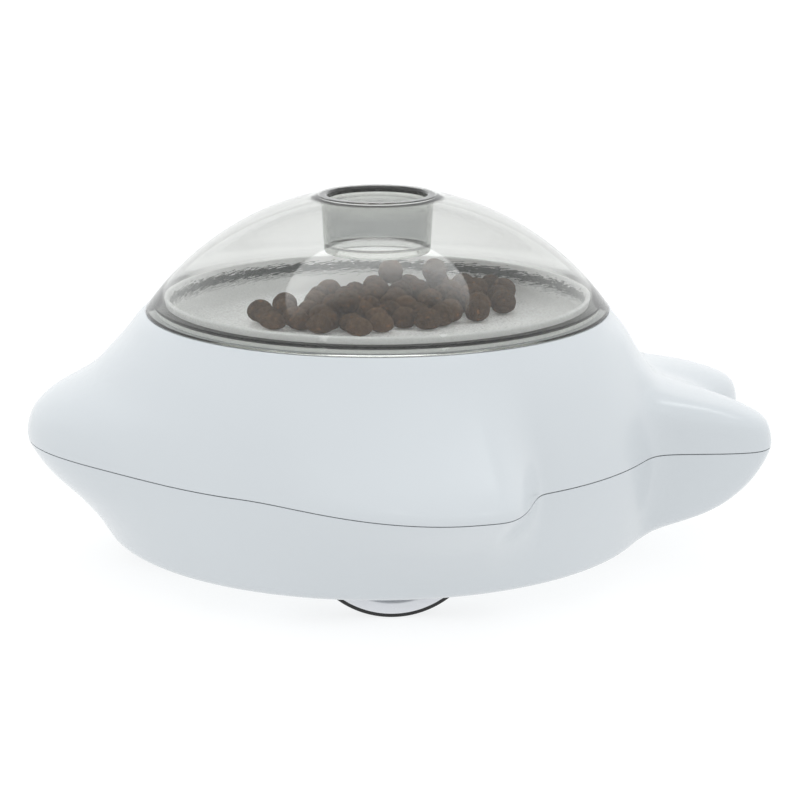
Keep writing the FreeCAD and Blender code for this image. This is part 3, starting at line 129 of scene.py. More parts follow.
def spread(tree, value, low, high, fromLow=0.3, fromHigh=0.7):
    # stretches a noise onto the numbers from low to high
    node = tree.nodes.new("ShaderNodeMapRange")
    node.inputs["From Min"].default_value = fromLow
    node.inputs["From Max"].default_value = fromHigh
    node.inputs["To Min"].default_value = low
    node.inputs["To Max"].default_value = high
    tree.links.new(value, node.inputs["Value"])
    return node.outputs["Result"]


def blendColours(tree, factor, first, second):
    # first and second are colours, or outputs that carry one
    node = tree.nodes.new("ShaderNodeMix")
    node.data_type = "RGBA"
    tree.links.new(factor, node.inputs["Factor"])
    for socket, colour in ((node.inputs["A"], first), (node.inputs["B"], second)):
        if isinstance(colour, tuple):
            socket.default_value = (*colour, 1)
        else:
            tree.links.new(colour, socket)
    return node.outputs["Result"]


def addBump(tree, shader, height, depth):
    node = tree.nodes.new("ShaderNodeBump")
    node.inputs["Distance"].default_value = depth
    tree.links.new(height, node.inputs["Height"])
    earlier = shader.inputs["Normal"].links
    if earlier:
        tree.links.new(earlier[0].from_socket, node.inputs["Normal"])
    tree.links.new(node.outputs["Normal"], shader.inputs["Normal"])


def mathNode(tree, operation, *values):
    node = tree.nodes.new("ShaderNodeMath")
    node.operation = operation
    for socket, value in zip(node.inputs, values):
        if isinstance(value, (int, float)):
            socket.default_value = value
        else:
            tree.links.new(value, socket)
    return node.outputs[0]


def aroundAxis(tree):
    # distance from the dome's axis, angle about it, and height
    split = tree.nodes.new("ShaderNodeSeparateXYZ")
    tree.links.new(pieceSpace(tree), split.inputs["Vector"])
    across = mathNode(tree, "SUBTRACT", split.outputs["X"], axisX)
    reach = mathNode(tree, "SQRT", mathNode(tree, "ADD", mathNode(tree, "MULTIPLY", across, across),
                     mathNode(tree, "MULTIPLY", split.outputs["Y"], split.outputs["Y"])))
    return reach, mathNode(tree, "ARCTAN2", split.outputs["Y"], across), split.outputs["Z"]


def plusMinus(colour, share):
    return tuple(min(channel * (1 + share), 1) for channel in colour)


# Plastics and rubbers: a mottled colour, uneven gloss and a fine skin

plasticLooks = {
    "white_shell": {"colour": (0.545, 0.576, 0.600), "mottle": 0.008,
        "gloss": (0.17, 0.24), "grain": 0.0030, "skin": 0.000012, "coat": 0.08},
    "tray_grey": {"colour": (0.95, 0.96, 0.95), "mottle": 0.006,
        "gloss": (0.22, 0.34), "grain": 0.0008, "skin": 0.00001, "coat": 0.0},
    "black_rubber": {"colour": (0.006, 0.006, 0.006), "mottle": 0.3,
        "gloss": (0.36, 0.55), "grain": 0.0005, "skin": 0.00002, "coat": 0.0},
    "natural_plastic": {"colour": (0.72, 0.72, 0.67), "mottle": 0.03,
        "gloss": (0.28, 0.42), "grain": 0.0009, "skin": 0.00001, "coat": 0.0},
    "gear_plastic": {"colour": (0.78, 0.75, 0.65), "mottle": 0.04,
        "gloss": (0.30, 0.45), "grain": 0.0007, "skin": 0.00001, "coat": 0.0},
    "wheel_white": {"colour": (0.72, 0.73, 0.76), "mottle": 0.02,
        "gloss": (0.16, 0.30), "grain": 0.0012, "skin": 0.00001, "coat": 0.0},
    "grey_plastic": {"colour": (0.27, 0.29, 0.32), "mottle": 0.06,
        "gloss": (0.30, 0.46), "grain": 0.0006, "skin": 0.00002, "coat": 0.0},
    "caster_rubber": {"colour": (0.045, 0.045, 0.05), "mottle": 0.25,
        "gloss": (0.45, 0.62), "grain": 0.0006, "skin": 0.00003, "coat": 0.0},
    "button_blue_grey": {"colour": (0.13, 0.19, 0.27), "mottle": 0.05,
        "gloss": (0.10, 0.18), "grain": 0.0015, "skin": 0.000008, "coat": 0.3},
    "black_plastic": {"colour": (0.022, 0.022, 0.023), "mottle": 0.2,
        "gloss": (0.28, 0.42), "grain": 0.0005, "skin": 0.00001, "coat": 0.0},
    "board_green": {"colour": (0.015, 0.11, 0.045), "mottle": 0.2,
        "gloss": (0.18, 0.30), "grain": 0.0012, "skin": 0.000008, "coat": 0.2},
    "cell_wrap": {"colour": (0.03, 0.12, 0.34), "mottle": 0.06,
        "gloss": (0.14, 0.26), "grain": 0.0040, "skin": 0.00002, "coat": 0.3},
}
coatGloss = 0.04
cloudSize = 14         # size of the colour's clouds, in grains


def makePlastic(name, look):
    material, tree, shader = startMaterial(name)
    cloudy = grainNoise(tree, cloudSize * look["grain"], 4)
    fine = grainNoise(tree, look["grain"], 5)
    base = blendColours(tree, spread(tree, cloudy, 0, 1), plusMinus(look["colour"], -look["mottle"]),
                        plusMinus(look["colour"], look["mottle"]))
    tree.links.new(base, shader.inputs["Base Color"])
    tree.links.new(spread(tree, fine, *look["gloss"]), shader.inputs["Roughness"])
    addBump(tree, shader, fine, look["skin"])
    if look["coat"]:
        shader.inputs["Coat Weight"].default_value = look["coat"]
        shader.inputs["Coat Roughness"].default_value = coatGloss
    return material


# Metals: long fine scratches that follow one direction

metalLooks = {
    "motor_steel": {"colour": (0.52, 0.52, 0.53), "gloss": (0.22, 0.38), "stretch": (1, 1, 0.04)},
    "bush_bronze": {"colour": (0.52, 0.34, 0.14), "gloss": (0.34, 0.50), "stretch": (1, 1, 1)},
    "steel": {"colour": (0.50, 0.50, 0.51), "gloss": (0.18, 0.34), "stretch": (1, 0.1, 1)},
    "contact_metal": {"colour": (0.66, 0.65, 0.62), "gloss": (0.12, 0.26), "stretch": (0.15, 1, 1)},
}
metalSkin = {"scratch": 0.3 * mm, "scratchDepth": 0.006 * mm, "smudge": 6 * mm, "smudgeShare": 0.08}


def makeMetal(name, look):
    material, tree, shader = startMaterial(name)
    scratches = grainNoise(tree, metalSkin["scratch"], 4, look["stretch"])
    smudges = grainNoise(tree, metalSkin["smudge"], 3)
    duller = plusMinus(look["colour"], -metalSkin["smudgeShare"])
    base = blendColours(tree, spread(tree, smudges, 0, 1), duller, look["colour"])
    tree.links.new(base, shader.inputs["Base Color"])
    tree.links.new(spread(tree, scratches, *look["gloss"]), shader.inputs["Roughness"])
    addBump(tree, shader, scratches, metalSkin["scratchDepth"])
    shader.inputs["Metallic"].default_value = 1
    return material


# Smoke-tinted clear plastic: colour is lost along the light's way through the wall

smokeLook = {
    "gloss": 0.015,
    "refraction": 1.49,
    "tint": (0.50, 0.52, 0.47),
    "density": 290,            # per metre
    "tubeColour": (0.76, 0.765, 0.78),     # the fill tube's middle is a little darker
    "tubeReach": 18.9 * mm,
    "tubeTop": (3 * mm, 7 * mm),          # below the mouth, where that begins and is full
    "tubeBottom": (15.2 * mm, 15.8 * mm), # and where it ends
    "mouthPaintedShade": (0.004, 0.004, 0.004),    # painted shade: near-black ring inside the mouth, standing in for the dark look of the thick clear lip
    "mouthShadeReach": 16.6 * mm,
    "edge": 0.1 * mm,                     # over which these colours change
    "mouthShadeDepth": 1.9 * mm,
    "ripple": 0.012,           # size of the moulding's faint ripples, in metres
    "rippleDepth": 0.00001,
}


def makeSmokedClear(name, look):
    material, tree, shader = startMaterial(name)
    reach, _, height = aroundAxis(tree)
    depths = look["tubeTop"] + look["tubeBottom"]
    topStart, topFull, footFull, footEnd = [domeHigh.z - depth for depth in depths]
    near = spread(tree, reach, 1, 0, look["tubeReach"], look["tubeReach"] + 2 * look["edge"])
    upper = spread(tree, height, 1, 0, topFull, topStart)
    lower = spread(tree, height, 0, 1, footEnd, footFull)
    mask = mathNode(tree, "MULTIPLY", near, mathNode(tree, "MULTIPLY", upper, lower))
    tinted = blendColours(tree, mask, (1.0, 1.0, 1.0), look["tubeColour"])
    # painted shade: a near-black ring painted round the top of the bore, standing in for the dark look
    # of the thick clear lip
    inMouthShade = spread(tree, reach, 1, 0, look["mouthShadeReach"], look["mouthShadeReach"] + look["edge"])
    shadeRingFoot = domeHigh.z - look["mouthShadeDepth"]
    atTop = spread(tree, height, 0, 1, shadeRingFoot - look["edge"], shadeRingFoot)
    ring = mathNode(tree, "MULTIPLY", inMouthShade, atTop)
    tree.links.new(blendColours(tree, ring, tinted, look["mouthPaintedShade"]), shader.inputs["Base Color"])
    shader.inputs["Transmission Weight"].default_value = 1
    shader.inputs["IOR"].default_value = look["refraction"]
    shader.inputs["Roughness"].default_value = look["gloss"]
    addBump(tree, shader, grainNoise(tree, look["ripple"], 2), look["rippleDepth"])
    absorption = tree.nodes.new("ShaderNodeVolumeAbsorption")
    absorption.inputs["Color"].default_value = (*look["tint"], 1)
    absorption.inputs["Density"].default_value = look["density"]
    tree.links.new(absorption.outputs["Volume"], tree.nodes["Material Output"].inputs["Volume"])
    return material


# Baked crumb: each ball a little lighter or darker, with rusty specks and dark pores

crumbLook = {
    "dark": (0.036, 0.022, 0.012),
    "light": (0.160, 0.095, 0.050),
    "rust": (0.27, 0.115, 0.040),
    "grain": 0.0011,
    "pores": 0.0007,
    "poreDepth": 0.0004,
    "finePores": 0.35,            # share of the pores' size
    "finePoreDepth": 0.00008,
    "specks": 0.0016,
    "speckShare": 0.75,
    "perBall": 0.45,              # how much of the difference in tone is from ball to ball
    "gloss": 0.92,
    "shine": 0.25,
}


def makeCrumb(name, look):
    material, tree, shader = startMaterial(name)
    geometry = tree.nodes.new("ShaderNodeNewGeometry")
    perBall = spread(tree, geometry.outputs["Random Per Island"], 0, 1, 0, 1)
    mottled = spread(tree, grainNoise(tree, look["grain"], 6), 0, 1, 0.35, 0.68)
    within = spread(tree, mottled, 0, 1 - look["perBall"], 0, 1)
    mixed = mathNode(tree, "MULTIPLY_ADD", perBall, look["perBall"], within)
    base = blendColours(tree, mixed, look["dark"], look["light"])
    specks = spread(tree, grainNoise(tree, look["specks"], 3), 0, look["speckShare"], 0.60, 0.72)
    base = blendColours(tree, specks, base, look["rust"])
    tree.links.new(base, shader.inputs["Base Color"])
    shader.inputs["Roughness"].default_value = look["gloss"]
    shader.inputs["Specular IOR Level"].default_value = look["shine"]
    addBump(tree, shader, grainNoise(tree, look["pores"], 6), look["poreDepth"])
    addBump(tree, shader, grainNoise(tree, look["pores"] * look["finePores"], 3), look["finePoreDepth"])
    return material


# Tray: its sizes, and a painted ring of dark streaks inside, below its lip, a painted reflection of the
# black seal

trayShape = {
    "floor": 2.2 * mm,
    "wall": 1.6 * mm,
    "flange": 2.5 * mm,            # beyond the side wall
    "flangeLow": 9.5 * mm,         # flange above the tray's underside
    "flangeThick": 1.4 * mm,
    "cornerRound": 4.5 * mm,
    "windowRadius": 8 * mm,
    "windowReach": 32 * mm,
    "windowTurn": 60,              # degrees from the tail
}
paintedSealStreaks = {
    "top": 2.2 * mm,            # below the tray's top
    "bottom": 5.2 * mm,
    "second": 6.6 * mm,         # a thinner, weaker ring under it
    "secondShare": 0.4,
    "ragged": 1.5 * mm,
    "length": 4 * mm,
    "thickness": 0.35 * mm,
    "slant": 0.12,
    "edge": 0.12 * mm,
    "insideEdge": (0.3 * mm, 0.4 * mm),
    "colour": (0.075, 0.085, 0.082),
    "glow": 0.07,               # painted glow: the tray outside the streaks emits a little white light, standing in for light that the thin white wall lets through
}


def addPaintedSealStreaks(material, paintedStreaks):
    low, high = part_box("hopper_tray")
    top = high.z
    inside = (high.x - low.x) / 2 - trayShape["flange"] - trayShape["wall"]
    tree = material.node_tree
    shader = tree.nodes["Principled BSDF"]
    reach, angle, height = aroundAxis(tree)
    strokes = tree.nodes.new("ShaderNodeCombineXYZ")
    tree.links.new(mathNode(tree, "MULTIPLY", angle, inside / paintedStreaks["length"]), strokes.inputs["X"])
    slanted = mathNode(tree, "MULTIPLY_ADD", angle, inside * paintedStreaks["slant"], height)
    tree.links.new(mathNode(tree, "DIVIDE", slanted, paintedStreaks["thickness"]), strokes.inputs["Y"])
    texture = tree.nodes.new("ShaderNodeTexNoise")
    texture.inputs["Scale"].default_value = 1
    texture.inputs["Detail"].default_value = 3
    tree.links.new(strokes.outputs["Vector"], texture.inputs["Vector"])
    shift = spread(tree, texture.outputs["Fac"], -paintedStreaks["ragged"], paintedStreaks["ragged"])
    ragged = mathNode(tree, "ADD", height, shift)
    edge = paintedStreaks["edge"]
    bandTop, bandFoot, secondFoot = [top - paintedStreaks[part] for part in ("top", "bottom", "second")]
    under = spread(tree, ragged, 1, 0, bandTop, bandTop + edge)
    over = spread(tree, ragged, 0, 1, bandFoot - edge, bandFoot)
    band = mathNode(tree, "MULTIPLY", under, over)
    lower = spread(tree, ragged, 0, paintedStreaks["secondShare"], secondFoot - edge, secondFoot)
    upper = spread(tree, ragged, 1, 0, bandFoot - 3 * edge, bandFoot - 2 * edge)
    band = mathNode(tree, "MAXIMUM", band, mathNode(tree, "MULTIPLY", lower, upper))
    onInside = spread(tree, reach, 1, 0, *[inside + past for past in paintedStreaks["insideEdge"]])
    # painted reflection: dark streaks of the black seal painted onto the tray's inside wall
    mask = mathNode(tree, "MULTIPLY", band, onInside)
    plain = shader.inputs["Base Color"].links[0].from_socket
    tree.links.new(blendColours(tree, mask, plain, paintedStreaks["colour"]), shader.inputs["Base Color"])
    # painted glow: white emission over the tray wherever the painted streaks are not
    tree.links.new(spread(tree, mask, paintedStreaks["glow"], 0, 0, 1), shader.inputs["Emission Strength"])
    shader.inputs["Emission Color"].default_value = (1, 1, 1, 1)


finishes = {}
for slotName, look in plasticLooks.items():
    finishes[slotName] = makePlastic(slotName, look)
for slotName, look in metalLooks.items():
    finishes[slotName] = makeMetal(slotName, look)
finishes["smoke_clear"] = makeSmokedClear("smoke_clear", smokeLook)
finishes["treat_brown"] = makeCrumb("treat_brown", crumbLook)

addPaintedSealStreaks(finishes["tray_grey"], paintedSealStreaks)

slotOfNode = {part["node"]: part["material_slot"] for part in frame["record"]["subparts"]}
for nodeName, node in nodes.items():
    for index in range(len(node.data.materials)):
        node.data.materials[index] = finishes[slotOfNode[nodeName]]
print("finishes made:", len(finishes))


# Turned pieces: a rounded outline swept round an axis

def arcAt(corner, before, after, radius, steps):
    # points of the arc that rounds one corner of an outline
    toBefore = (before - corner).normalized()
    toAfter = (after - corner).normalized()
    half = toBefore.angle(toAfter) / 2
    reach = min(radius / math.tan(half), 0.49 * (before - corner).length, 0.49 * (after - corner).length)
    radius = reach * math.tan(half)
    centre = corner + (toBefore + toAfter).normalized() * radius / math.sin(half)
    first, last = corner + toBefore * reach - centre, corner + toAfter * reach - centre
    turn = first.angle_signed(last)
    return [centre + Matrix.Rotation(-turn * k / steps, 2) @ first for k in range(steps + 1)]


def roundedOutline(corners, steps=6):
    # corners: (distance from the axis, height, rounding), all in metres, in order round the outline
    points = []
    for index, (reach, height, rounding) in enumerate(corners):
        corner = Vector((reach, height))
        if rounding:
            before = Vector(corners[index - 1][:2])
            after = Vector(corners[(index + 1) % len(corners)][:2])
            points += arcAt(corner, before, after, rounding, steps)
        else:
            points.append(corner)
    return points


def turnedMesh(name, outline, steps=192, place=Matrix.Identity(4), grooves=None):
    # grooves(angle, point) may move an outline point in or out at that angle
    made = bmesh.new()
    rings = []
    for point in outline:
        if point.x < 1e-6:
            rings.append([made.verts.new((0, 0, point.y))])
            continue
        ring = []
        for k in range(steps):
            angle = 2 * math.pi * k / steps
            reach = point.x + (grooves(k, point) if grooves else 0)
            ring.append(made.verts.new((reach * math.cos(angle), reach * math.sin(angle), point.y)))
        rings.append(ring)
    for index, ring in enumerate(rings):
        after = rings[(index + 1) % len(rings)]
        if len(ring) == 1 and len(after) == 1:
            continue
        for k in range(steps):
            corners = [ring[k % len(ring)], ring[(k + 1) % len(ring)]]
            corners += [after[(k + 1) % len(after)], after[k % len(after)]]
            made.faces.new(list(dict.fromkeys(corners)))
    bmesh.ops.recalc_face_normals(made, faces=made.faces)
    made.transform(place)
    mesh = bpy.data.meshes.new(name)
    made.to_mesh(mesh)
    made.free()
    piece = bpy.data.objects.new(name, mesh)
    bpy.context.scene.collection.objects.link(piece)
    return piece


def smoothed(piece, angle=35):
    piece.data.shade_smooth()
    piece.data.set_sharp_from_angle(angle=math.radians(angle))


def standsFor(piece, node, smoothAngle=35):
    # the new piece takes the node's place, body and finish
    smoothed(piece, smoothAngle)
    piece.data.materials.clear()
    piece.data.materials.append(finishes[slotOfNode[node]])
    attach(piece, nodes[node]["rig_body"])
    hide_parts(node)


# Dome with its open fill tube, one clear moulding

domeShape = {
    "wall": 0.8 * mm,
    "footWall": 1.6 * mm,          # thicker where it stands on the shell
    "footHeight": 3.5 * mm,
    "mouthRadius": 18.2 * mm,      # where the ball shape reaches its highest
    "boreRadius": 16 * mm,
    "beadReach": 1.7 * mm,         # the lip's bead beyond the mouth
    "tubeLength": 19 * mm,
    "tubeFootRadius": 17.2 * mm,
    "lipRadius": 14.1 * mm,        # opening of the inward lip at the tube's lower end
    "lipHeight": 3 * mm,
    "ballSteps": 22,
}


def makeDome():
    shape = domeShape
    edge = (domeHigh.x - domeLow.x) / 2
    rise = domeHigh.z - domeLow.z
    mouth = shape["mouthRadius"]
    centre = domeLow.z + (edge ** 2 - mouth ** 2 - rise ** 2) / (-2 * rise)
    ball = math.hypot(edge, domeLow.z - centre)
    inner = ball - shape["wall"]

    def onBall(radius, reach):
        return centre + math.sqrt(radius ** 2 - reach ** 2)

    def ballRun(radius, start, end, thicker=0):
        # places along the ball shape between two distances from the axis; thicker is added at the foot
        first, last = math.asin(start / radius), math.asin(end / radius)
        turns = [first + (last - first) * k / shape["ballSteps"] for k in range(shape["ballSteps"] + 1)]
        run = []
        for turn in turns:
            above = (centre + radius * math.cos(turn) - domeLow.z) / shape["footHeight"]
            reach = radius - thicker * min(max(1.6 - above, 0), 1)
            run.append((reach * math.sin(turn), centre + reach * math.cos(turn), 0))
        return run

    beadFoot = mouth + shape["beadReach"]
    footExtra = shape["footWall"] - shape["wall"]
    innerEdge = math.sqrt((inner - footExtra) ** 2 - (domeLow.z - centre) ** 2)
    bore, lip, foot = shape["boreRadius"], shape["lipRadius"], shape["tubeFootRadius"]
    tubeEnd = domeHigh.z - shape["tubeLength"]
    corners = [(edge, domeLow.z, 0.25 * mm)]
    corners += ballRun(ball, edge - 0.5 * mm, beadFoot)
    corners += [(beadFoot - 0.7 * mm, domeHigh.z, 0.5 * mm), (bore, domeHigh.z, 0.9 * mm),
                (bore, tubeEnd + shape["lipHeight"], 0.4 * mm),
                (lip, tubeEnd + shape["lipHeight"] - 0.5 * mm, 0.5 * mm), (lip, tubeEnd, 0.5 * mm),
                (foot, tubeEnd, 1.2 * mm), (mouth, onBall(inner, mouth), 1.2 * mm)]
    corners += ballRun(inner, mouth + 1.5 * mm, innerEdge + footExtra, footExtra)
    corners.append((innerEdge, domeLow.z, 0.25 * mm))
    dome = turnedMesh("clearDome", roundedOutline(corners), 256, Matrix.Translation((axisX, 0, 0)))
    standsFor(dome, "dome", 50)


makeDome()
print("dome turned")


# Hopper tray: floor with its window, side wall, flange and rounded lip

def makeTray():
    shape = trayShape
    low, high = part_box("hopper_tray")
    side = (high.x - low.x) / 2 - shape["flange"]
    inside = side - shape["wall"]
    flange = low.z + shape["flangeLow"]
    corners = [(0, low.z, 0), (side, low.z, 0.8 * mm), (side, flange, 0.2 * mm),
               (side + shape["flange"], flange, 0.3 * mm),
               (side + shape["flange"], flange + shape["flangeThick"], 0.4 * mm),
               (side, flange + shape["flangeThick"], 0.2 * mm), (side, high.z, 0.75 * mm),
               (inside, high.z, 0.75 * mm), (inside, low.z + shape["floor"], shape["cornerRound"]),
               (0, low.z + shape["floor"], 0)]
    tray = turnedMesh("hopperTray", roundedOutline(corners), 256, Matrix.Translation((axisX, 0, 0)))
    turn = math.radians(shape["windowTurn"])
    spot = (axisX + shape["windowReach"] * math.cos(turn), shape["windowReach"] * math.sin(turn), 0)
    radius, past, edge = shape["windowRadius"], 1 * mm, 0.5 * mm
    top = low.z + shape["floor"]
    punch = [(0, low.z - past, 0), (radius + edge + past, low.z - past, 0), (radius, low.z + edge, 0),
             (radius, top - edge, 0), (radius + edge + past, top + past, 0), (0, top + past, 0)]
    cutter = turnedMesh("windowCutter", roundedOutline(punch), 96, Matrix.Translation(spot))
    cutOut(tray, cutter)
    standsFor(tray, "hopper_tray")


def cutOut(piece, cutter):
    modifier = piece.modifiers.new("cut", "BOOLEAN")
    modifier.operation = "DIFFERENCE"
    modifier.solver = "EXACT"
    modifier.object = cutter
    bpy.context.view_layer.update()
    whole = piece.evaluated_get(bpy.context.evaluated_depsgraph_get())
    cut = bpy.data.meshes.new_from_object(whole)
    piece.modifiers.clear()
    piece.data = cut
    bpy.data.objects.remove(cutter)


makeTray()


# Black seal ring round the tray's wall

sealShape = {
    "thick": 1.4 * mm,
    "wider": 1.2 * mm,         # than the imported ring, towards the dome
    "lower": 0.5 * mm,
}


def makeSeal():
    low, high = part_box("rim_seal")
    inner = (high.x - low.x) / 2 - sealShape["thick"]
    outer = inner + sealShape["thick"] + sealShape["wider"]
    top = high.z - sealShape["lower"]
    corners = [(inner, low.z, 0.2 * mm), (outer, low.z, 0.3 * mm), (outer, top, 0.4 * mm),
               (inner, top, 0.2 * mm)]
    seal = turnedMesh("rimSeal", roundedOutline(corners, 8), 256, Matrix.Translation((axisX, 0, 0)))
    standsFor(seal, "rim_seal")


makeSeal()
print("tray and seal turned")


# Drive wheels: a dished hub with a flat rim, and a black tyre round it

wheelShape = {
    "tyreThick": 1.2 * mm,
    "tyreShoulder": 0.45 * mm,
    "rimInner": 23.3 * mm,         # where the outer face's flat rim ends
    "recess": 3 * mm,              # web below the outer face
    "bossRadius": 8 * mm,
    "bossDrop": 0.5 * mm,          # boss below the outer face
    "boreRadius": 2.05 * mm,
    "innerBoss": 9 * mm,
    "innerRecess": 2 * mm,
    "innerRim": 3 * mm,
}


def makeWheel(word, side):
    shape = wheelShape
    low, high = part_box(f"wheel_hub_{word}")
    middle = (low + high) / 2
    width = high.y - low.y
    reach = (high.x - low.x) / 2
    innerFace = low.y if side > 0 else high.y
    outwards = Matrix.Rotation(math.radians(-90 * side), 4, "X")
    place = Matrix.Translation((middle.x, innerFace, middle.z)) @ outwards
    web = width - shape["recess"]
    hub = [(shape["boreRadius"], 0, 0), (shape["innerBoss"], 0, 0.3 * mm),
           (shape["innerBoss"], shape["innerRecess"], 0.4 * mm),
           (reach - shape["innerRim"], shape["innerRecess"], 0.4 * mm),
           (reach - shape["innerRim"], 0, 0.3 * mm), (reach, 0, 0.2 * mm), (reach, width, 0.35 * mm),
           (shape["rimInner"], width, 0.5 * mm), (shape["rimInner"] - 0.6 * mm, web, 0.6 * mm),
           (shape["bossRadius"], web, 0.6 * mm),
           (shape["bossRadius"] - 0.6 * mm, width - shape["bossDrop"], 0.5 * mm),
           (shape["boreRadius"], width - shape["bossDrop"], 0.2 * mm)]
    standsFor(turnedMesh(f"{word}Hub", roundedOutline(hub), 160, place), f"wheel_hub_{word}")
    low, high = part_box(f"tyre_{word}")
    outer = (high.x - low.x) / 2
    inner = outer - shape["tyreThick"] + 0.02 * mm
    inset = (width - (high.y - low.y)) / 2
    tyre = [(inner, inset, 0.1 * mm), (outer, inset, shape["tyreShoulder"]),
            (outer, width - inset, shape["tyreShoulder"]), (inner, width - inset, 0.1 * mm)]
    standsFor(turnedMesh(f"{word}Tyre", roundedOutline(tyre), 256, place), f"tyre_{word}")


makeWheel("left", -1)
makeWheel("right", 1)


# Button's coil spring, with closed ends, filling the imported spring's box

springShape = {
    "wire": 0.5 * mm,          # its radius
    "turns": 6,
    "endTurns": 0.75,          # closed, at each end
    "endPitch": 2.1,           # in wire radii
    "stepsPerTurn": 40,
    "wireSteps": 12,
    "playPressed": 0.05 * mm,
}


def makeSpring():
    shape = springShape
    low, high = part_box("button_spring")
    wire = shape["wire"]
    coil = (high.z - low.z) / 2 - wire
    middle = (low + high) / 2
    length = high.x - low.x - 2 * wire
    total = shape["turns"] + 2 * shape["endTurns"]
    steps = round(total * shape["stepsPerTurn"])
    made = bmesh.new()
    rings = []
    closed = shape["endPitch"] * wire * shape["endTurns"]        # length that each closed end takes
    for k in range(steps + 1):
        turns = total * k / steps
        if turns < shape["endTurns"]:
            along = closed * turns / shape["endTurns"]
        elif turns > total - shape["endTurns"]:
            along = length - closed * (total - turns) / shape["endTurns"]
        else:
            along = closed + (length - 2 * closed) * (turns - shape["endTurns"]) / shape["turns"]
        angle = 2 * math.pi * turns
        ring = []
        for j in range(shape["wireSteps"]):
            turn = 2 * math.pi * j / shape["wireSteps"]
            reach = coil + wire * math.cos(turn)
            across, up = reach * math.cos(angle), reach * math.sin(angle)
            spot = (low.x + wire + along + wire * math.sin(turn), middle.y + across, middle.z + up)
            ring.append(made.verts.new(spot))
        rings.append(ring)
    for ring, after in zip(rings, rings[1:]):
        for j in range(shape["wireSteps"]):
            other = (j + 1) % shape["wireSteps"]
            made.faces.new([ring[j], ring[other], after[other], after[j]])
    made.faces.new(rings[0])
    made.faces.new(rings[-1])
    bmesh.ops.recalc_face_normals(made, faces=made.faces)
    mesh = bpy.data.meshes.new("coilSpring")
    made.to_mesh(mesh)
    made.free()
    spring = bpy.data.objects.new("coilSpring", mesh)
    bpy.context.scene.collection.objects.link(spring)
    standsFor(spring, "button_spring", 50)
    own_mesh(spring)


makeSpring()
print("wheels and spring made")


# Treats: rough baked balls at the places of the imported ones

treatShape = {
    "subdivisions": 4,
    "lumps": 0.05,           # depths are shares of the radius
    "lumpScale": 1.3,
    "crumbs": 0.065,
    "crumbScale": 6,
    "pits": 0.16,
    "pitScale": 3.4,
    "pitStart": 0.28,
    "smallest": 3 * mm,
    "seed": 11,
}


def ballPlaces(node):
    # centre and radius of each loose ball of that node
    source = bmesh.new()
    source.from_mesh(nodes[node].data)
    seen, places = set(), []
    for start in source.verts:
        if start.index in seen:
            continue
        island, edge = [start], [start]
        seen.add(start.index)
        while edge:
            vertex = edge.pop()
            for link in vertex.link_edges:
                other = link.other_vert(vertex)
                if other.index not in seen:
                    seen.add(other.index)
                    island.append(other)
                    edge.append(other)
        lows = [min(vertex.co[axis] for vertex in island) for axis in range(3)]
        highs = [max(vertex.co[axis] for vertex in island) for axis in range(3)]
        centre = Vector([(low + high) / 2 for low, high in zip(lows, highs)])
        places.append((centre, (highs[2] - lows[2]) / 2))
    source.free()
    return sorted(places, key=lambda place: tuple(place[0]))


def makeTreats():
    shape = treatShape
    chance = random.Random(shape["seed"])
    made = bmesh.new()
    for centre, radius in ballPlaces("treats"):
        if radius < shape["smallest"]:
            continue
        away = Vector([chance.uniform(-50, 50) for _ in range(3)])
        ball = bmesh.ops.create_icosphere(made, subdivisions=shape["subdivisions"], radius=1)["verts"]
        for vertex in ball:
            way = vertex.co.normalized()
            lump = noise.noise(way * shape["lumpScale"] + away)
            crumb = noise.fractal(way * shape["crumbScale"] + away, 0.7, 2.1, 4)
            pit = max(noise.noise(way * shape["pitScale"] - away) - shape["pitStart"], 0)
            hollow = shape["lumps"] * (0.5 - 0.5 * lump) + shape["crumbs"] * (0.5 - 0.5 * crumb)
            hollow += shape["pits"] * pit
            vertex.co = centre + way * radius * (1 - max(hollow, 0))
    mesh = bpy.data.meshes.new("bakedTreats")
    made.to_mesh(mesh)
    made.free()
    treats = bpy.data.objects.new("bakedTreats", mesh)
    bpy.context.scene.collection.objects.link(treats)
    standsFor(treats, "treats", 180)


makeTreats()
print("treats baked")


# A glowing white table and soft studio light

studio = {
    "tableSize": 14,
    "tableColour": (0.22, 0.22, 0.22),
    "tableGlow": 0.83,
    "tint": (0.985, 0.995, 1.0),
    "band": 1.18,             # wide white walls all round, up to a height
    "bandTop": 0.60,          # sine of its height, at the sides
    "bandFade": 0.14,
    "bandTilt": 0.23,         # higher in front, lower behind
    "ceiling": 0.98,
    "roundBoxHalf": 29,       # degrees, a round softbox overhead
    "roundBoxBack": 2.5,      # its strength behind, and in front
    "roundBoxFront": 0.0,
    "roundBoxShade": (-0.09, 0.22),   # from and to, along Y
    "aimHeight": 0.06,        # where the softboxes point
}
softboxes = {
    "frontLeft": {"place": (-1.1, -1.5, 1.9), "size": 0.16, "radiance": 4, "shape": "DISK"},
    "frontRight": {"place": (1.1, -1.5, 1.9), "size": 0.16, "radiance": 4, "shape": "DISK"},
}


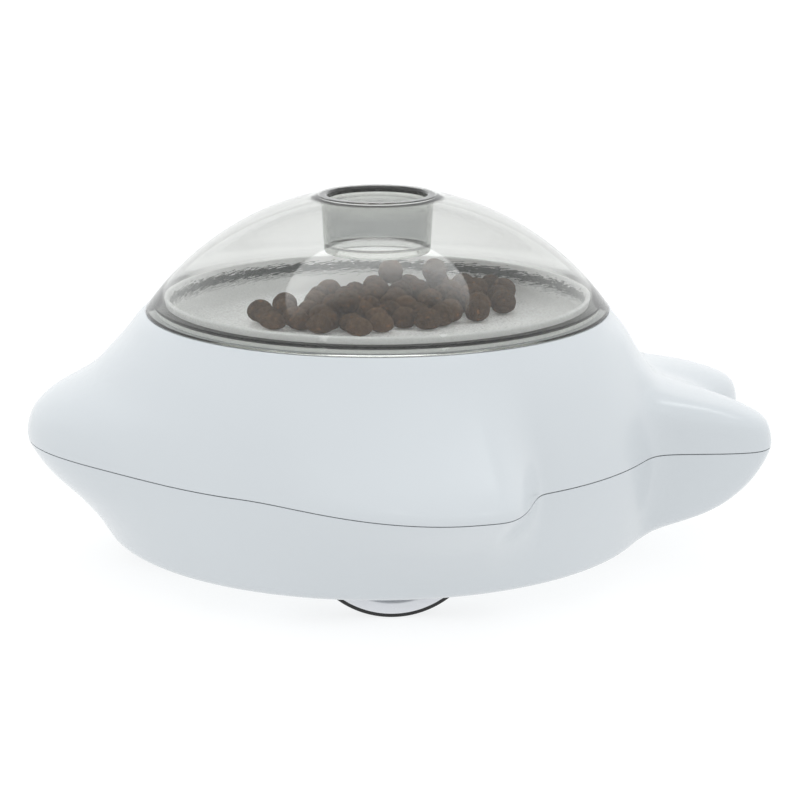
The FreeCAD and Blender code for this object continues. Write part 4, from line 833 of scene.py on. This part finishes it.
def makeTable():
    mesh = bpy.data.meshes.new("whiteTable")
    half = studio["tableSize"] / 2
    corners = [(-half, -half, 0), (half, -half, 0), (half, half, 0), (-half, half, 0)]
    mesh.from_pydata(corners, [], [(0, 1, 2, 3)])
    table = bpy.data.objects.new("whiteTable", mesh)
    bpy.context.scene.collection.objects.link(table)
    material, tree, shader = startMaterial("whiteTable")
    shader.inputs["Base Color"].default_value = (*studio["tableColour"], 1)
    shader.inputs["Roughness"].default_value = 0.9
    shader.inputs["Specular IOR Level"].default_value = 0
    shader.inputs["Emission Color"].default_value = (*studio["tint"], 1)
    shader.inputs["Emission Strength"].default_value = studio["tableGlow"]
    mesh.materials.append(material)


def makeSky():
    world = bpy.data.worlds.new("softSky")
    world.use_nodes = True
    tree = world.node_tree
    sky = tree.nodes["Background"]
    sky.inputs["Color"].default_value = (*studio["tint"], 1)
    way = tree.nodes.new("ShaderNodeSeparateXYZ")
    tree.links.new(tree.nodes.new("ShaderNodeTexCoord").outputs["Generated"], way.inputs["Vector"])
    tilted = mathNode(tree, "MULTIPLY_ADD", way.outputs["Y"], studio["bandTilt"], way.outputs["Z"])
    walls = spread(tree, tilted, studio["band"], studio["ceiling"], studio["bandTop"],
                   studio["bandTop"] + studio["bandFade"])
    half = math.radians(studio["roundBoxHalf"])
    disc = spread(tree, way.outputs["Z"], 0, 1, math.cos(half * 1.01), math.cos(half * 0.99))
    shade = spread(tree, way.outputs["Y"], studio["roundBoxFront"], studio["roundBoxBack"],
                   *studio["roundBoxShade"])
    tree.links.new(mathNode(tree, "MULTIPLY_ADD", disc, shade, walls), sky.inputs["Strength"])
    bpy.context.scene.world = world


def makeSoftbox(name, box):
    light = bpy.data.lights.new(name, "AREA")
    light.shape = box["shape"]
    light.size = box["size"]
    light.energy = box["radiance"] * math.pi * box["size"] ** 2
    lamp = bpy.data.objects.new(name, light)
    bpy.context.scene.collection.objects.link(lamp)
    lamp.location = box["place"]
    away = Vector(box["place"]) - Vector((0, 0, studio["aimHeight"]))
    lamp.rotation_euler = away.to_track_quat("Z", "Y").to_euler()


makeTable()
makeSky()
for softboxName, softbox in softboxes.items():
    makeSoftbox(softboxName, softbox)
bpy.context.scene.view_settings.view_transform = "Standard"
print("studio lit")
